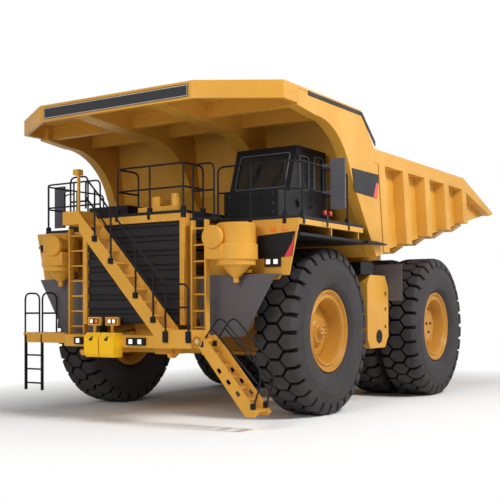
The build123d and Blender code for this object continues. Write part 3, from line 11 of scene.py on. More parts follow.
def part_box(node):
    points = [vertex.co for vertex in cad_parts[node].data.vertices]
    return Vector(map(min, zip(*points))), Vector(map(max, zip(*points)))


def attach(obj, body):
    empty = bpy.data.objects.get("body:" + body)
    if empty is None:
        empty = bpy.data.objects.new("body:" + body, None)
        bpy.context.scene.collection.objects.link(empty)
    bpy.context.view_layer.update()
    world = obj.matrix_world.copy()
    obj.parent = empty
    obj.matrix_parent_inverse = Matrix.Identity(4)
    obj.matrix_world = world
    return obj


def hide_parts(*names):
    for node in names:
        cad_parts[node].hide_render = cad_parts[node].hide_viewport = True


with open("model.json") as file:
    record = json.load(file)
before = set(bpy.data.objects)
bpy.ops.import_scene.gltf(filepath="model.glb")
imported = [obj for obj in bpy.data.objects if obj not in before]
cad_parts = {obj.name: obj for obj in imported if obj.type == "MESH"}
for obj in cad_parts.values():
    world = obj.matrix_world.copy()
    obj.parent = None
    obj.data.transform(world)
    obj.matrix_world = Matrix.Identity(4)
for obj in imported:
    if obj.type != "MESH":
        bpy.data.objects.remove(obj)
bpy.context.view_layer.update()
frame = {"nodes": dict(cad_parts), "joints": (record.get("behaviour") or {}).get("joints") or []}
nodes = frame["nodes"]
MM = 0.001


# Colour and material helpers
def linear(hex_code):
    """An sRGB hex colour as the linear RGBA that a shader reads."""
    channels = [int(hex_code[i:i + 2], 16) / 255 for i in (0, 2, 4)]
    return tuple(c / 12.92 if c <= 0.04045 else ((c + 0.055) / 1.055) ** 2.4 for c in channels) + (1.0,)


def add(tree, kind, settings=None, links=None):
    """Adds a node, gives its properties and sockets their values, and links sockets into it."""
    node = tree.nodes.new(kind)
    for key, value in (settings or {}).items():
        if isinstance(key, int) or key in node.inputs:
            node.inputs[key].default_value = value
        else:
            setattr(node, key, value)
    for key, socket in (links or {}).items():
        tree.links.new(socket, node.inputs[key])
    return node


def new_material(name, **sockets):
    """A material with its tree, principled shader and object coordinates, and sockets set by name."""
    material = bpy.data.materials.new(name)
    material.use_nodes = True
    tree = material.node_tree
    shader = tree.nodes["Principled BSDF"]
    for key, value in sockets.items():
        shader.inputs[key.replace("_", " ")].default_value = value
    place = add(tree, "ShaderNodeTexCoord").outputs["Object"]
    return material, tree, shader, place


def ramp(tree, factor, low, high, low_value=0.0, high_value=1.0):
    """A value mapped from low..high to low_value..high_value, held at the ends."""
    node = add(tree, "ShaderNodeMapRange",
               {"From Min": low, "From Max": high, "To Min": low_value, "To Max": high_value},
               {"Value": factor})
    return node.outputs["Result"]


def mottle(tree, place, size, detail=4.0):
    """Noise whose patches are about size metres across."""
    noise = add(tree, "ShaderNodeTexNoise", {"Scale": 1 / size, "Detail": detail}, {"Vector": place})
    return noise.outputs["Fac"]


def mixed(tree, factor, first, second):
    """A colour mixed from two, each a hex code or a socket."""
    node = add(tree, "ShaderNodeMix", {"data_type": "RGBA"}, {"Factor": factor})
    for index, colour in ((6, first), (7, second)):
        if isinstance(colour, str):
            node.inputs[index].default_value = linear(colour)
        else:
            tree.links.new(colour, node.inputs[index])
    return node.outputs[2]


def bump(tree, shader, height, distance, strength=1.0):
    """Shapes the shader's normal by a height, where 1 stands for a distance in metres."""
    node = add(tree, "ShaderNodeBump", {"Distance": distance, "Strength": strength}, {"Height": height})
    tree.links.new(node.outputs["Normal"], shader.inputs["Normal"])


def enamel(name, colour, shade, roughness, gloss=0.22):
    """Sprayed two-pack enamel on steel plate: an even colour, faint patches of dust, fine orange peel."""
    material, tree, shader, place = new_material(name, IOR=1.5, Specular_IOR_Level=gloss, Coat_Weight=0.04,
                                                 Coat_Roughness=0.2)
    patches = mottle(tree, place, 0.9)
    tint = mixed(tree, ramp(tree, patches, 0.35, 0.75, 0.0, 0.7), colour, shade)
    tree.links.new(tint, shader.inputs["Base Color"])
    tree.links.new(ramp(tree, patches, 0.3, 0.7, roughness, roughness + 0.12), shader.inputs["Roughness"])
    # Orange peel of real sprayed plate is about 4 mm; drawn at 25 mm so that it shows
    bump(tree, shader, mottle(tree, place, 25 * MM, 2.0), 0.6 * MM, 0.5)
    return material


def inside_box(tree, place, low, high):
    """1 inside a box of object coordinates, 0 outside."""
    axes = add(tree, "ShaderNodeSeparateXYZ", None, {"Vector": place})
    product = None
    for index, (near, far) in enumerate(zip(low, high)):
        middle, reach = (near + far) / 2, (far - near) / 2
        inside = add(tree, "ShaderNodeMath", {"operation": "COMPARE", 1: middle, 2: reach},
                     {0: axes.outputs[index]}).outputs[0]
        if product is not None:
            inside = add(tree, "ShaderNodeMath", {"operation": "MULTIPLY"},
                         {0: inside, 1: product}).outputs[0]
        product = inside
    return product


def tread_plate(name, colour, shade):
    """Enamelled tread plate: raised ribs about 35 mm apart, drawn at 70 mm so that they show."""
    material = enamel(name, colour, shade, 0.5, 0.12)
    tree = material.node_tree
    place = add(tree, "ShaderNodeTexCoord").outputs["Object"]
    ribs = add(tree, "ShaderNodeTexVoronoi", {"feature": "F1", "distance": "MANHATTAN",
                                              "Scale": 1 / (70 * MM), "Randomness": 0.0}, {"Vector": place})
    height = ramp(tree, ribs.outputs["Distance"], 0.25, 0.35, 1.0, 0.0)
    bump(tree, tree.nodes["Principled BSDF"], height, 2 * MM)
    return material


def repaint(material, low, high, colour):
    """Lays another colour over the part of a painted material inside a box of object coordinates."""
    tree = material.node_tree
    shader = tree.nodes["Principled BSDF"]
    place = add(tree, "ShaderNodeTexCoord").outputs["Object"]
    under = shader.inputs["Base Color"].links[0].from_socket
    inside = inside_box(tree, place, low, high)
    tree.links.new(mixed(tree, inside, under, colour), shader.inputs["Base Color"])


def tyre_rubber():
    """Moulded natural rubber: dark grey, dusty in patches, with a fine mould grain and painted shade in its
    grooves.
    """
    material, tree, shader, place = new_material("moulded_rubber", IOR=1.52, Specular_IOR_Level=0.15)
    patches = mottle(tree, place, 0.5, 6.0)
    tint = mixed(tree, ramp(tree, patches, 0.35, 0.7), "393637", "464243")
    # Painted shade darkens the grooves, the tread's base and the blocks' feet; faces and walls keep the
    # dusty rubber colour
    groove = add(tree, "ShaderNodeAttribute", {"attribute_name": "groove"}).outputs["Fac"]
    tree.links.new(mixed(tree, ramp(tree, groove, 0.15, 0.8), tint, "0B0A0A"), shader.inputs["Base Color"])
    tree.links.new(ramp(tree, patches, 0.3, 0.7, 0.62, 0.78), shader.inputs["Roughness"])
    # Mould grain is under 1 mm; drawn at 12 mm so that it shows
    bump(tree, shader, mottle(tree, place, 12 * MM, 3.0), 0.8 * MM, 0.6)
    return material


def tinted_glass():
    """Laminated cab glass with a grey tint, polished."""
    return new_material("tinted_glass", Base_Color=linear("5B666A"), Roughness=0.03, IOR=1.52,
                        Transmission_Weight=0.85)[0]


def lens_glass():
    """Clear pressed lens over a white lamp bowl, with a painted glow standing in for the daylight in the
    bowl.
    """
    return new_material("lamp_lens", Base_Color=linear("F2F2EE"), Roughness=0.12, IOR=1.49, Coat_Weight=1.0,
                        # The emission is a painted glow of daylight, not a lit lamp
                        Emission_Color=linear("FFFFFF"), Emission_Strength=0.35)[0]


def hard_chrome():
    """Ground and chromed steel of a cylinder rod."""
    return new_material("hard_chrome", Base_Color=linear("C9CBCC"), Metallic=1.0, Roughness=0.16)[0]


def moulded_plastic(name, colour, roughness=0.5):
    """Moulded plastic, rubber or film: an even colour under a fine grain, drawn at 6 mm so that it shows."""
    material, tree, shader, place = new_material(name, Base_Color=linear(colour), Roughness=roughness,
                                                 IOR=1.54)
    bump(tree, shader, mottle(tree, place, 6 * MM, 2.0), 0.4 * MM, 0.4)
    return material


def woven_cloth():
    """Woven polyester seat cloth: threads about 1 mm, drawn at 7.9 mm so that they show."""
    material, tree, shader, place = new_material("woven_seat_cloth", Base_Color=linear("2E3238"),
                                                 Roughness=0.9, Sheen_Weight=0.3)
    # A wave of scale 1 repeats every pi / 10 metres
    threads = add(tree, "ShaderNodeTexWave", {"Scale": pi / 10 / (7.9 * MM), "Distortion": 0.5},
                  {"Vector": place})
    bump(tree, shader, threads.outputs["Fac"], 0.5 * MM, 0.5)
    return material


# Each enamel has its clean colour, its dusty one, its roughness and its gloss
yellow = enamel("yellow_enamel", "DCA13E", "CB9134", 0.40)
# A more orange yellow for the rims, darkened further with painted shade of their deep dishes
rim_yellow_painted_shade = enamel("rim_enamel", "C68B32", "B37C2A", 0.36)
black = enamel("black_enamel", "17171A", "1F1F22", 0.42, 0.12)
charcoal = enamel("charcoal_enamel", "262425", "2D2B2C", 0.55, 0.12)
grey = enamel("grey_liner_enamel", "5E5A5D", "545054", 0.6)
mirror_grey = enamel("mirror_back_enamel", "55545A", "4C4B51", 0.4, 0.2)
pale = enamel("pale_enamel", "C9C7C2", "BDBBB6", 0.45)
deck_black = tread_plate("deck_enamel", "1B1B1E", "262629")
rubber = tyre_rubber()
seal_rubber = moulded_plastic("window_seal_rubber", "5A5D62", 0.6)
glass = tinted_glass()
lens = lens_glass()
chrome = hard_chrome()
dash_plastic = moulded_plastic("black_abs", "232326")
cloth = woven_cloth()
red_film = moulded_plastic("red_film", "D42A2E", 0.4)
amber_lens = moulded_plastic("amber_lens", "EE7420", 0.25)
# The two guard blocks on the bumper are a brighter yellow than the rest of it
guard_yellow = enamel("bumper_enamel", "DCA13E", "CB9134", 0.40)
repaint(guard_yellow, (6.674, -0.83, 1.25), (7.0, 0.0, 1.86), "FCC31D")
# A pale line runs round the blank plate on the canopy's front
plate_black = enamel("plate_enamel", "131315", "19191B", 0.36, 0.12)
repaint(plate_black, (7.01, -1.88, 6.35), (7.03, 1.88, 6.57), "B9B6B8")
repaint(plate_black, (7.01, -1.865, 6.365), (7.03, 1.865, 6.555), "3A393C")


# Finishes of the CAD nodes
FINISHES = (
    (yellow, ("main_frame", "frame_members", "rear_axle", "knuckle_left", "knuckle_right", "tie_rod",
              "bed_tray", "bed_sides", "bed_rails", "bed_bolsters", "bed_shoulders", "canopy",
              "canopy_beams", "radiator_frame", "fenders", "cross_stair", "access_ladder", "side_ladders",
              "fuel_tank", "engine_block")),
    (guard_yellow, ("front_bumper",)),
    (plate_black, ("body_plates",)),
    (deck_black, ("upper_deck",)),
    (mirror_grey, ("mirrors",)),
    (black, ("cab_shell", "cab_door", "deck_boxes", "drive_line", "lamp_boxes")),
    (charcoal, ("radiator_grille",)),
    (grey, ("splash_shields",)),
    (glass, ("cab_glass", "door_glass")),
    (dash_plastic, ("cab_dash",)),
)
for material, names in FINISHES:
    for name in names:
        mesh = nodes[name].data
        mesh.materials.clear()
        mesh.materials.append(material)


def roll_edges(node, width):
    """Rolls the edges of a CAD node's plates, with shading that stays flat on the faces."""
    piece = nodes[node]
    weld = piece.modifiers.new("weld", "WELD")
    weld.merge_threshold = 0.1 * MM
    roll = piece.modifiers.new("edge_roll", "BEVEL")
    roll.width, roll.segments = width, 2
    roll.limit_method, roll.angle_limit = "ANGLE", radians(38)
    piece.modifiers.new("face_shading", "WEIGHTED_NORMAL").keep_sharp = False


# Rolls of the CAD nodes' edges, wider on heavier plate
ROLLED = (
    (12 * MM, ("bed_sides", "bed_rails", "canopy", "bed_shoulders", "bed_bolsters", "fuel_tank",
               "main_frame")),
    (7 * MM, ("canopy_beams", "fenders", "radiator_frame", "front_bumper", "cab_shell", "deck_boxes",
              "engine_block", "frame_members", "rear_axle")),
    (4 * MM, ("cross_stair", "access_ladder", "mirrors", "lamp_boxes", "upper_deck", "radiator_grille",
              "cab_door", "knuckle_left", "knuckle_right", "splash_shields")),
)
for width, names in ROLLED:
    for name in names:
        roll_edges(name, width)


# Places that the frame gives, and the two sides of the truck
JOINTS = {joint["name"]: joint for joint in frame["joints"]}
FRONT_HUB = Vector(JOINTS["roll_front_left"]["pos_m"])
REAR_HUB = Vector(JOINTS["roll_rear_left"]["pos_m"])
FRONT_X = FRONT_HUB.x
SIDES = ((1, "left"), (-1, "right"))


def ahead(distance):
    """X of a station a distance ahead of the front axle."""
    return FRONT_X + distance


def mirrored(points):
    """The same points on the other side of the truck."""
    return [(x, -y, z) for x, y, z in points]


def span(middle, below, above=None):
    """Low and high end of a stretch round a middle, even on both sides unless both reaches are given."""
    return middle - below, middle + (below if above is None else above)


def oblong(left, right, bottom, top):
    """Corners of an oblong, round from its lower left."""
    return (left, bottom), (right, bottom), (right, top), (left, top)


def arc(centre, radius, angles):
    """Points at a radius round a centre in a plane, one at each angle."""
    return [(centre[0] + radius * cos(a), centre[1] + radius * sin(a)) for a in angles]


# Ways to make a piece
def linked(name, data):
    """A new object in the scene."""
    item = bpy.data.objects.new(name, data)
    bpy.context.scene.collection.objects.link(item)
    return item


def place_piece(name, data, material, body, replaced=(), place=None):
    """Puts new mesh or curve data in the scene, finished, riding on its body."""
    data.materials.append(material)
    piece = linked(name, data)
    if place is not None:
        piece.matrix_world = place
    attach(piece, body)
    if replaced:
        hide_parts(*replaced)
    return piece


def mesh_piece(name, bm, material, body, replaced=(), crease=35):
    """Places a built mesh as a piece, smooth up to a crease angle."""
    bmesh.ops.recalc_face_normals(bm, faces=bm.faces)
    mesh = bpy.data.meshes.new(name)
    bm.to_mesh(mesh)
    bm.free()
    for face in mesh.polygons:
        face.use_smooth = True
    mesh.set_sharp_from_angle(angle=radians(crease))
    return place_piece(name, mesh, material, body, replaced)


def soften(piece, width, segments=2):
    """Rolls the sharp edges of a piece over, as a cast or folded edge is."""
    roll = piece.modifiers.new("edge_roll", "BEVEL")
    roll.width, roll.segments = width, segments
    roll.limit_method, roll.angle_limit = "ANGLE", radians(35)
    return piece


def rings_between(bm, rings):
    """Faces from each closed ring of corners to the next."""
    for low, high in zip(rings, rings[1:]):
        for index in range(len(low)):
            after = (index + 1) % len(low)
            bm.faces.new((low[index], low[after], high[after], high[index]))


def turned(bm, centre, axis, stations, segments=96):
    """A closed turned form about an axis through (distance, radius) stations."""
    along = Vector(axis).normalized()
    side = along.orthogonal().normalized()
    across = along.cross(side)
    rings = []
    for distance, radius in stations:
        middle = Vector(centre) + along * distance
        rings.append([
            bm.verts.new(middle + radius * (side * cos(a) + across * sin(a)))
            for a in (2 * pi * number / segments for number in range(segments))
        ])
    rings_between(bm, rings)
    bm.faces.new(rings[0])
    bm.faces.new(rings[-1])


def extruded(bm, outline, depth):
    """A solid from an outline of corners carried by a depth vector."""
    near = [bm.verts.new(corner) for corner in outline]
    far = [bm.verts.new(Vector(corner) + Vector(depth)) for corner in outline]
    rings_between(bm, [near, far])
    bm.faces.new(near)
    bm.faces.new(far)


def add_block(bm, x, y, z):
    """A block between (low, high) pairs."""
    outline = [(x[0], y[0], z[0]), (x[1], y[0], z[0]), (x[1], y[1], z[0]), (x[0], y[1], z[0])]
    extruded(bm, outline, (0, 0, z[1] - z[0]))


def blocks(name, spans, material, body, roll=0.004):
    """One piece of edge-rolled blocks."""
    bm = bmesh.new()
    for x, y, z in spans:
        add_block(bm, x, y, z)
    soften(mesh_piece(name, bm, material, body), roll)


def slabs(name, outlines, depth, material, body, roll=0.002):
    """One piece of plates, each an outline of corners carried by the same depth."""
    bm = bmesh.new()
    for outline in outlines:
        extruded(bm, outline, depth)
    soften(mesh_piece(name, bm, material, body), roll)


def rounded(points, bend=0.09, steps=5):
    """A tube's path with every inner corner bent over a length of both its legs."""
    path = [Vector(points[0])]
    for before, corner, after in zip(points, points[1:], points[2:]):
        a, b, c = Vector(before), Vector(corner), Vector(after)
        reach = min(bend, (a - b).length / 2, (c - b).length / 2)
        start, end = b + (a - b).normalized() * reach, b + (c - b).normalized() * reach
        for step in range(steps + 1):
            t = step / steps
            path.append((1 - t) ** 2 * start + 2 * t * (1 - t) * b + t * t * end)
    return path + [Vector(points[-1])]


def add_path(curve, spots, closed=False):
    """Adds a path of straight stretches to a curve."""
    spline = curve.splines.new("POLY")
    spline.points.add(len(spots) - 1)
    spline.use_cyclic_u = closed
    for point, spot in zip(spline.points, spots):
        point.co = (*spot, 1)


def tubes(name, paths, radius, material, body, replaced=()):
    """Round bent tubes as one piece."""
    curve = bpy.data.curves.new(name, "CURVE")
    curve.dimensions = "3D"
    curve.bevel_depth, curve.bevel_resolution = radius, 2
    curve.use_fill_caps = True
    for path in paths:
        add_path(curve, path)
    place_piece(name, curve, material, body, replaced)


def pierced_plate(name, outline, holes, x, thickness, material, body, replaced=()):
    """A plate behind its face at x, from an outline of (y, z) corners, pierced by (y, z) outlines."""
    curve = bpy.data.curves.new(name, "CURVE")
    curve.dimensions, curve.fill_mode = "2D", "BOTH"
    curve.extrude = thickness / 2
    for corners in [outline] + holes:
        add_path(curve, [(y, z, 0) for y, z in corners], True)
    # Its own X lies along the truck's Y, its own Y along the truck's Z
    turn = Matrix(((0, 0, 1), (1, 0, 0), (0, 1, 0))).to_4x4()
    place_piece(name, curve, material, body, replaced, Matrix.Translation((x - thickness / 2, 0, 0)) @ turn)


def bolts(name, spots, normal, size, material, body):
    """Hexagon bolt heads, each on its washer, on a face with that normal."""
    washer = [(-0.002, size * 0.62), (size * 0.12, size * 0.62)]
    head = [(size * 0.1, size * 0.5), (size * 0.42, size * 0.5), (size * 0.48, size * 0.42)]
    bm = bmesh.new()
    for spot in spots:
        turned(bm, spot, normal, washer, 16)
        turned(bm, spot, normal, head, 6)
    mesh_piece(name, bm, material, body, crease=25)


# Tyres
TYRE_RADIUS = 1.79
TREAD_BASE = 1.690
LUG_COUNT = 30
LUG_PITCH = 2 * pi / LUG_COUNT * TYRE_RADIUS
# Hexagon block in (side, half width along the tread, radius of its face), with a groove to the next one
GROOVE = 0.062
HEX_SIDE = (LUG_PITCH - GROOVE) / 2
HEXAGON = ((-0.20, 0.014, 1.783), (-0.095, HEX_SIDE, 1.784), (0.095, HEX_SIDE, 1.784), (0.20, 0.014, 1.783))
# Half of the tyre's section in (side, radius), from the bead over the sidewall to the tread's base
TYRE_SECTION = (
    (0.300, 0.740), (0.300, 0.884), (0.345, 0.892), (0.400, 0.925), (0.440, 0.985), (0.447, 1.000),
    (0.456, 1.004), (0.463, 1.020), (0.478, 1.090), (0.492, 1.190), (0.498, 1.290), (0.496, 1.330),
    (0.499, 1.338), (0.498, 1.356), (0.493, 1.364), (0.487, 1.430), (0.470, 1.540), (0.448, 1.610),
    (0.424, 1.635), (0.390, 1.665), (0.300, 1.683), (0.000, TREAD_BASE),
)
# Shoulder lug in (side, half width along the tread, radius of its face)
SHOULDER_LUG = (
    (0.150, 0.012, 1.783), (0.250, 0.148, 1.784), (0.340, 0.146, 1.780), (0.410, 0.142, 1.764),
    (0.450, 0.138, 1.724), (0.480, 0.134, 1.664), (0.495, 0.126, 1.600), (0.498, 0.104, 1.556),
)
# Past this side a shoulder lug's walls end in the sidewall instead of the tread's base
SHOULDER_SIDE = 0.44
# Painted shade of the grooves lies on the carcass from this radius out
SHADED_GROOVE_RADIUS = 1.60
TWIN_TYRES_Y = (1.79, 2.93)


def tyre_place(side, along, radius, hub):
    """Point of the tread from its side, its distance along the tread and its radius."""
    angle = along / TYRE_RADIUS
    return hub + Vector((radius * cos(angle), side, radius * sin(angle)))


def tread_block(bm, hub, start, rows, draft=0.008):
    """A tread block through rows of (side, half width, face radius), its walls flared to the base."""
    layer = bm.verts.layers.float["groove"]
    faces, feet = [], []
    for side, half, radius in rows:
        low, inner = min(TREAD_BASE, radius - 0.03) - 0.02, side
        if abs(side) > SHOULDER_SIDE:
            low, inner = radius - 0.06, side * 0.88
        face, foot = [], []
        for share in (-1, 0, 1):
            face.append(bm.verts.new(tyre_place(side, start + share * half, radius, hub)))
            foot.append(bm.verts.new(tyre_place(inner, start + share * (half + draft), low, hub)))
            # Painted shade at the foot of each block
            foot[-1][layer] = 1.0
        faces.append(face)
        feet.append(foot)
    for index in range(len(rows) - 1):
        for column in (0, 1):
            bm.faces.new((faces[index][column], faces[index][column + 1],
                          faces[index + 1][column + 1], faces[index + 1][column]))
        for column in (0, 2):
            bm.faces.new((faces[index][column], faces[index + 1][column],
                          feet[index + 1][column], feet[index][column]))
    for end in (0, -1):
        for column in (0, 1):
            bm.faces.new((faces[end][column], faces[end][column + 1],
                          feet[end][column + 1], feet[end][column]))


def add_tyre(bm, hub):
    """One tyre about a hub: turned carcass, hexagon blocks down the middle and lugs on both shoulders."""
    layer = bm.verts.layers.float["groove"]
    profile = [(-side, radius) for side, radius in TYRE_SECTION] + list(TYRE_SECTION[-2::-1])
    segments = LUG_COUNT * 4
    rings = []
    for side, radius in profile:
        ring = [bm.verts.new(tyre_place(side, TYRE_RADIUS * 2 * pi * n / segments, radius, hub))
                for n in range(segments)]
        # Painted shade on the tread's base between the blocks, none on the sidewalls
        for vert in ring:
            vert[layer] = 1.0 if radius > SHADED_GROOVE_RADIUS else 0.0
        rings.append(ring)
    rings_between(bm, rings + rings[:1])
    lowest = -pi / 2 * TYRE_RADIUS
    for lug in range(LUG_COUNT):
        tread_block(bm, hub, lowest + (lug + 0.5) * LUG_PITCH, HEXAGON)
        for side in (-1, 1):
            rows = [(side * place, width, radius) for place, width, radius in SHOULDER_LUG]
            tread_block(bm, hub, lowest + lug * LUG_PITCH, rows)


def tyres():
    """The four tyre nodes: single front tyres and twin rear ones."""
    for node, axle, hub, places in (
        ("tyre_front_", "wheel_front_", FRONT_HUB, (FRONT_HUB.y,)),
        ("tyres_rear_", "wheel_rear_", REAR_HUB, TWIN_TYRES_Y),
    ):
        for side, word in SIDES:
            bm = bmesh.new()
            bm.verts.layers.float.new("groove")
            for y in places:
                add_tyre(bm, Vector((hub.x, side * y, FRONT_HUB.z)))
            piece = mesh_piece("treaded_" + node + word, bm, rubber, axle + word, (node + word,), 32)
            soften(piece, 0.012, 1)


# Rims, in (distance from the tyre's middle, radius), from the nose or hub over the lip to the inside
RIM_LIP = (
    (0.330, 0.690), (0.350, 0.705), (0.356, 0.722), (0.350, 0.742), (0.330, 0.758), (0.322, 0.780),
    (0.330, 0.806), (0.352, 0.826), (0.376, 0.838), (0.391, 0.850), (0.393, 0.870), (0.384, 0.883),
)
INNER_LIP = (
    (-0.303, 0.7345), (-0.303, 0.885), (-0.384, 0.883), (-0.393, 0.870), (-0.390, 0.800), (-0.320, 0.690),
)
FRONT_RIM = (
    (0.236, 0.060), (0.243, 0.070), (0.243, 0.118), (0.230, 0.131), (0.172, 0.150), (0.158, 0.165),
    (0.155, 0.255), (0.143, 0.272), (0.070, 0.330), (0.050, 0.360), (0.036, 0.372), (0.033, 0.600),
    (0.080, 0.618), (0.290, 0.672), *RIM_LIP, (0.304, 0.885), (0.303, 0.7345), *INNER_LIP,
    (-0.300, 0.675), (-0.020, 0.600), (-0.020, 0.210),
)
TWIN_GAP = TWIN_TYRES_Y[1] - TWIN_TYRES_Y[0]
REAR_RIM = (
    (0.170, 0.050), (0.174, 0.080), (0.174, 0.395), (0.160, 0.412), (0.075, 0.425), (0.063, 0.440),
    (0.063, 0.600), (0.080, 0.618), (0.290, 0.672), *RIM_LIP, (0.304, 0.885), (0.303, 0.7345),
    *((distance - TWIN_GAP, radius) for distance, radius in INNER_LIP), (-1.030, 0.640), (-1.030, 0.210),
)
# Rings of bolts: name, distance from the tyre's middle, radius, count, turn, size and finish
FRONT_RINGS = (
    ("rim_bolts_front_", 0.033, 0.545, 40, 0.0, 0.056, rim_yellow_painted_shade),
    ("hub_bolts_front_", 0.156, 0.212, 16, 0.0, 0.030, rim_yellow_painted_shade),
    ("nose_bolts_front_", 0.242, 0.095, 6, 0.0, 0.026, black),
)
REAR_RINGS = (
    ("rim_bolts_rear_", 0.064, 0.545, 40, 0.0, 0.036, rim_yellow_painted_shade),
    ("hub_bolts_rear_", 0.175, 0.350, 24, 0.0, 0.030, rim_yellow_painted_shade),
    ("hub_plugs_rear_", 0.175, 0.150, 3, 0.5, 0.060, black),
)


def rims():
    """Dished front rims with hub and nose, and twin rear rims with a flat hub, each with its bolt rings."""
    for side, word in SIDES:
        normal = (0, side, 0)
        for node, axle, middle, y, section, rings in (
            ("rim_front_", "wheel_front_", FRONT_HUB, FRONT_HUB.y, FRONT_RIM, FRONT_RINGS),
            ("rims_rear_", "wheel_rear_", REAR_HUB, TWIN_TYRES_Y[1], REAR_RIM, REAR_RINGS),
        ):
            hub = Vector((middle.x, side * y, middle.z))
            bm = bmesh.new()
            turned(bm, hub, normal, section, 128)
            mesh_piece("turned_" + node + word, bm, rim_yellow_painted_shade, axle + word, (node + word,), 28)
            for name, distance, radius, count, start, size, finish in rings:
                angles = (start + 2 * pi * number / count for number in range(count))
                spots = [(x, hub.y + side * distance, z) for x, z in arc((hub.x, hub.z), radius, angles)]
                bolts(name + word, spots, normal, size, finish, axle + word)


# Railings
RAIL = 0.020
RAIL_HEIGHT = 1.08
RAIL_BEND = 0.14
RAIL_SIDE = 3.42
WALK_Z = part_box("upper_deck")[1].z
DECK_Z = WALK_Z - 0.16
DECK_FRONT = ahead(2.01)
# Cross stair: the line of its stringer's top in (y, z), its posts and the landing's, and their heights
STAIR_FACE = ahead(3.42)
STAIR_X = STAIR_FACE + RAIL
STAIR_FOOT, STAIR_HEAD = Vector((1.23, 1.88)), Vector((-0.96, 4.29))
STAIR_POSTS = (-0.51, -0.08, 0.56, 1.0)
STAIR_RAIL_LIFT = 0.94
LANDING_POSTS = (1.30, 1.85)
LANDING_Z, LANDING_RAIL_Z = 1.66, 2.75


def posts(points, pitch=0.95):
    """Feet of a railing's posts: at its corners and evenly between."""
    feet = [Vector(points[0])]
    for start, end in zip(points, points[1:]):
        count = max(1, round((Vector(end) - Vector(start)).length / pitch))
        feet += [Vector(start).lerp(Vector(end), step / count) for step in range(1, count + 1)]
    return feet


def railing(points, height):
    """Paths of one railing: a top rail that turns down into its end posts, a middle rail and posts."""
    feet = posts(points)
    over = [(x, y, z + height) for x, y, z in points]
    paths = [rounded([points[0]] + over + [points[-1]], RAIL_BEND)]
    paths.append(rounded([(x, y, z + height / 2) for x, y, z in points], 0.1))
    paths += [[foot, foot + Vector((0, 0, height))] for foot in feet[1:-1]]
    return paths


def railings():
    """Round black railings of the walkway and both decks, hoops at the ladder heads and foot clamps."""
    walk_x, walk_back, walk_left, walk_right = ahead(2.83), ahead(2.13), 1.30, -0.40
    walk = [(walk_back, walk_right, WALK_Z), (walk_x, walk_right, WALK_Z), (walk_x, walk_left, WALK_Z),
            (walk_back, walk_left, WALK_Z)]
    cut = 0.25
    left = [(DECK_FRONT, 1.59, DECK_Z), (DECK_FRONT, RAIL_SIDE - cut, DECK_Z),
            (DECK_FRONT - cut, RAIL_SIDE, DECK_Z), (ahead(-0.25), RAIL_SIDE, DECK_Z)]
    paths = railing(walk, 0.95)
    feet = posts(walk)
    for points in (left, mirrored(left)):
        paths += railing(points, RAIL_HEIGHT)
        feet += posts(points)
    gate_x = ahead(2.635)
    middle, top = DECK_Z + RAIL_HEIGHT / 2, DECK_Z + RAIL_HEIGHT
    for low, high in ((1.40, 1.91), (-1.91, -1.40)):
        hoop = [(gate_x, low, DECK_Z), (gate_x, low, top), (gate_x, high, top), (gate_x, high, DECK_Z)]
        paths.append(rounded(hoop, RAIL_BEND))
        paths.append([(gate_x, low, middle), (gate_x, high, middle)])
    paths += stair_railing()
    tubes("deck_railings", paths, RAIL, black, "chassis", ("deck_rails",))
    clamps = [(span(x, 0.0425), span(y, 0.0425), span(z, 0.16, 0.09)) for x, y, z in feet]
    blocks("post_clamps", clamps, black, "chassis", 0.008)


def stair_rise(y, lift):
    """Height of a line parallel to the cross stair, lifted over its stringer."""
    share = (STAIR_FOOT.x - y) / (STAIR_FOOT.x - STAIR_HEAD.x)
    return STAIR_FOOT.y + (STAIR_HEAD.y - STAIR_FOOT.y) * share + lift


def stair_railing():
    """Paths of the cross stair's handrail, bent level over the landing and down into its last post."""
    first = STAIR_HEAD.x + 0.21
    near, far = LANDING_POSTS
    top = ((first, stair_rise(first, 0.3)), (first, stair_rise(first, STAIR_RAIL_LIFT)),
           (near, LANDING_RAIL_Z), (far, LANDING_RAIL_Z), (far, LANDING_Z))
    middle = ((first, stair_rise(first, 0.54)), (near, 2.30), (far, 2.30))
    paths = [rounded([(STAIR_X, y, z) for y, z in path], 0.16) for path in (top, middle)]
    ends = [(y, stair_rise(y, -0.08), stair_rise(y, STAIR_RAIL_LIFT)) for y in STAIR_POSTS]
    ends.append((near, LANDING_Z, LANDING_RAIL_Z))
    return paths + [[(STAIR_X, y, low), (STAIR_X, y, high)] for y, low, high in ends]


def stair_clamps():
    """Bolted clamps that hold the handrail's posts on the stringer and the landing."""
    levels = [(y, stair_rise(y, -0.13), stair_rise(y, -0.01)) for y in STAIR_POSTS]
    levels += [(y, 1.62, 1.84) for y in LANDING_POSTS]
    spans = [(span(STAIR_FACE, 0, 0.065), span(y, 0.05), (low, high)) for y, low, high in levels]
    blocks("stair_rail_clamps", spans, black, "chassis", 0.008)
    heads = [(STAIR_FACE + 0.0655, y, low + share * (high - low))
             for y, low, high in levels for share in (0.25, 0.75)]
    bolts("stair_clamp_bolts", heads, (1, 0, 0), 0.024, black, "chassis")


# Folding ladder: its pivot and foot in (y, z), the front faces of its stringers and its treads
LADDER_PIVOT, LADDER_FOOT = Vector((2.03, 1.65)), Vector((3.35, 0.34))
LADDER_FACES = (ahead(3.40), ahead(2.94))
STRINGER = 0.03
LADDER_STEPS = 6
# Holes between the treads, at shares of the slope, each with blunted ends in (share, lift)
HOLE_SHARES = (0.391, 0.547, 0.703)
HOLE = (
    (-0.030, -0.070), (-0.022, -0.085), (0.022, -0.085), (0.030, -0.070),
    (0.030, -0.020), (0.022, -0.005), (-0.022, -0.005), (-0.030, -0.020),
)


def ladder_spot(x, share, lift):
    """Point of the ladder's plane, a share of the way down and lifted square to its slope."""
    run = LADDER_FOOT - LADDER_PIVOT
    y, z = LADDER_PIVOT + run * share + Vector((-run.y, run.x)) / run.length * lift
    return x, y, z


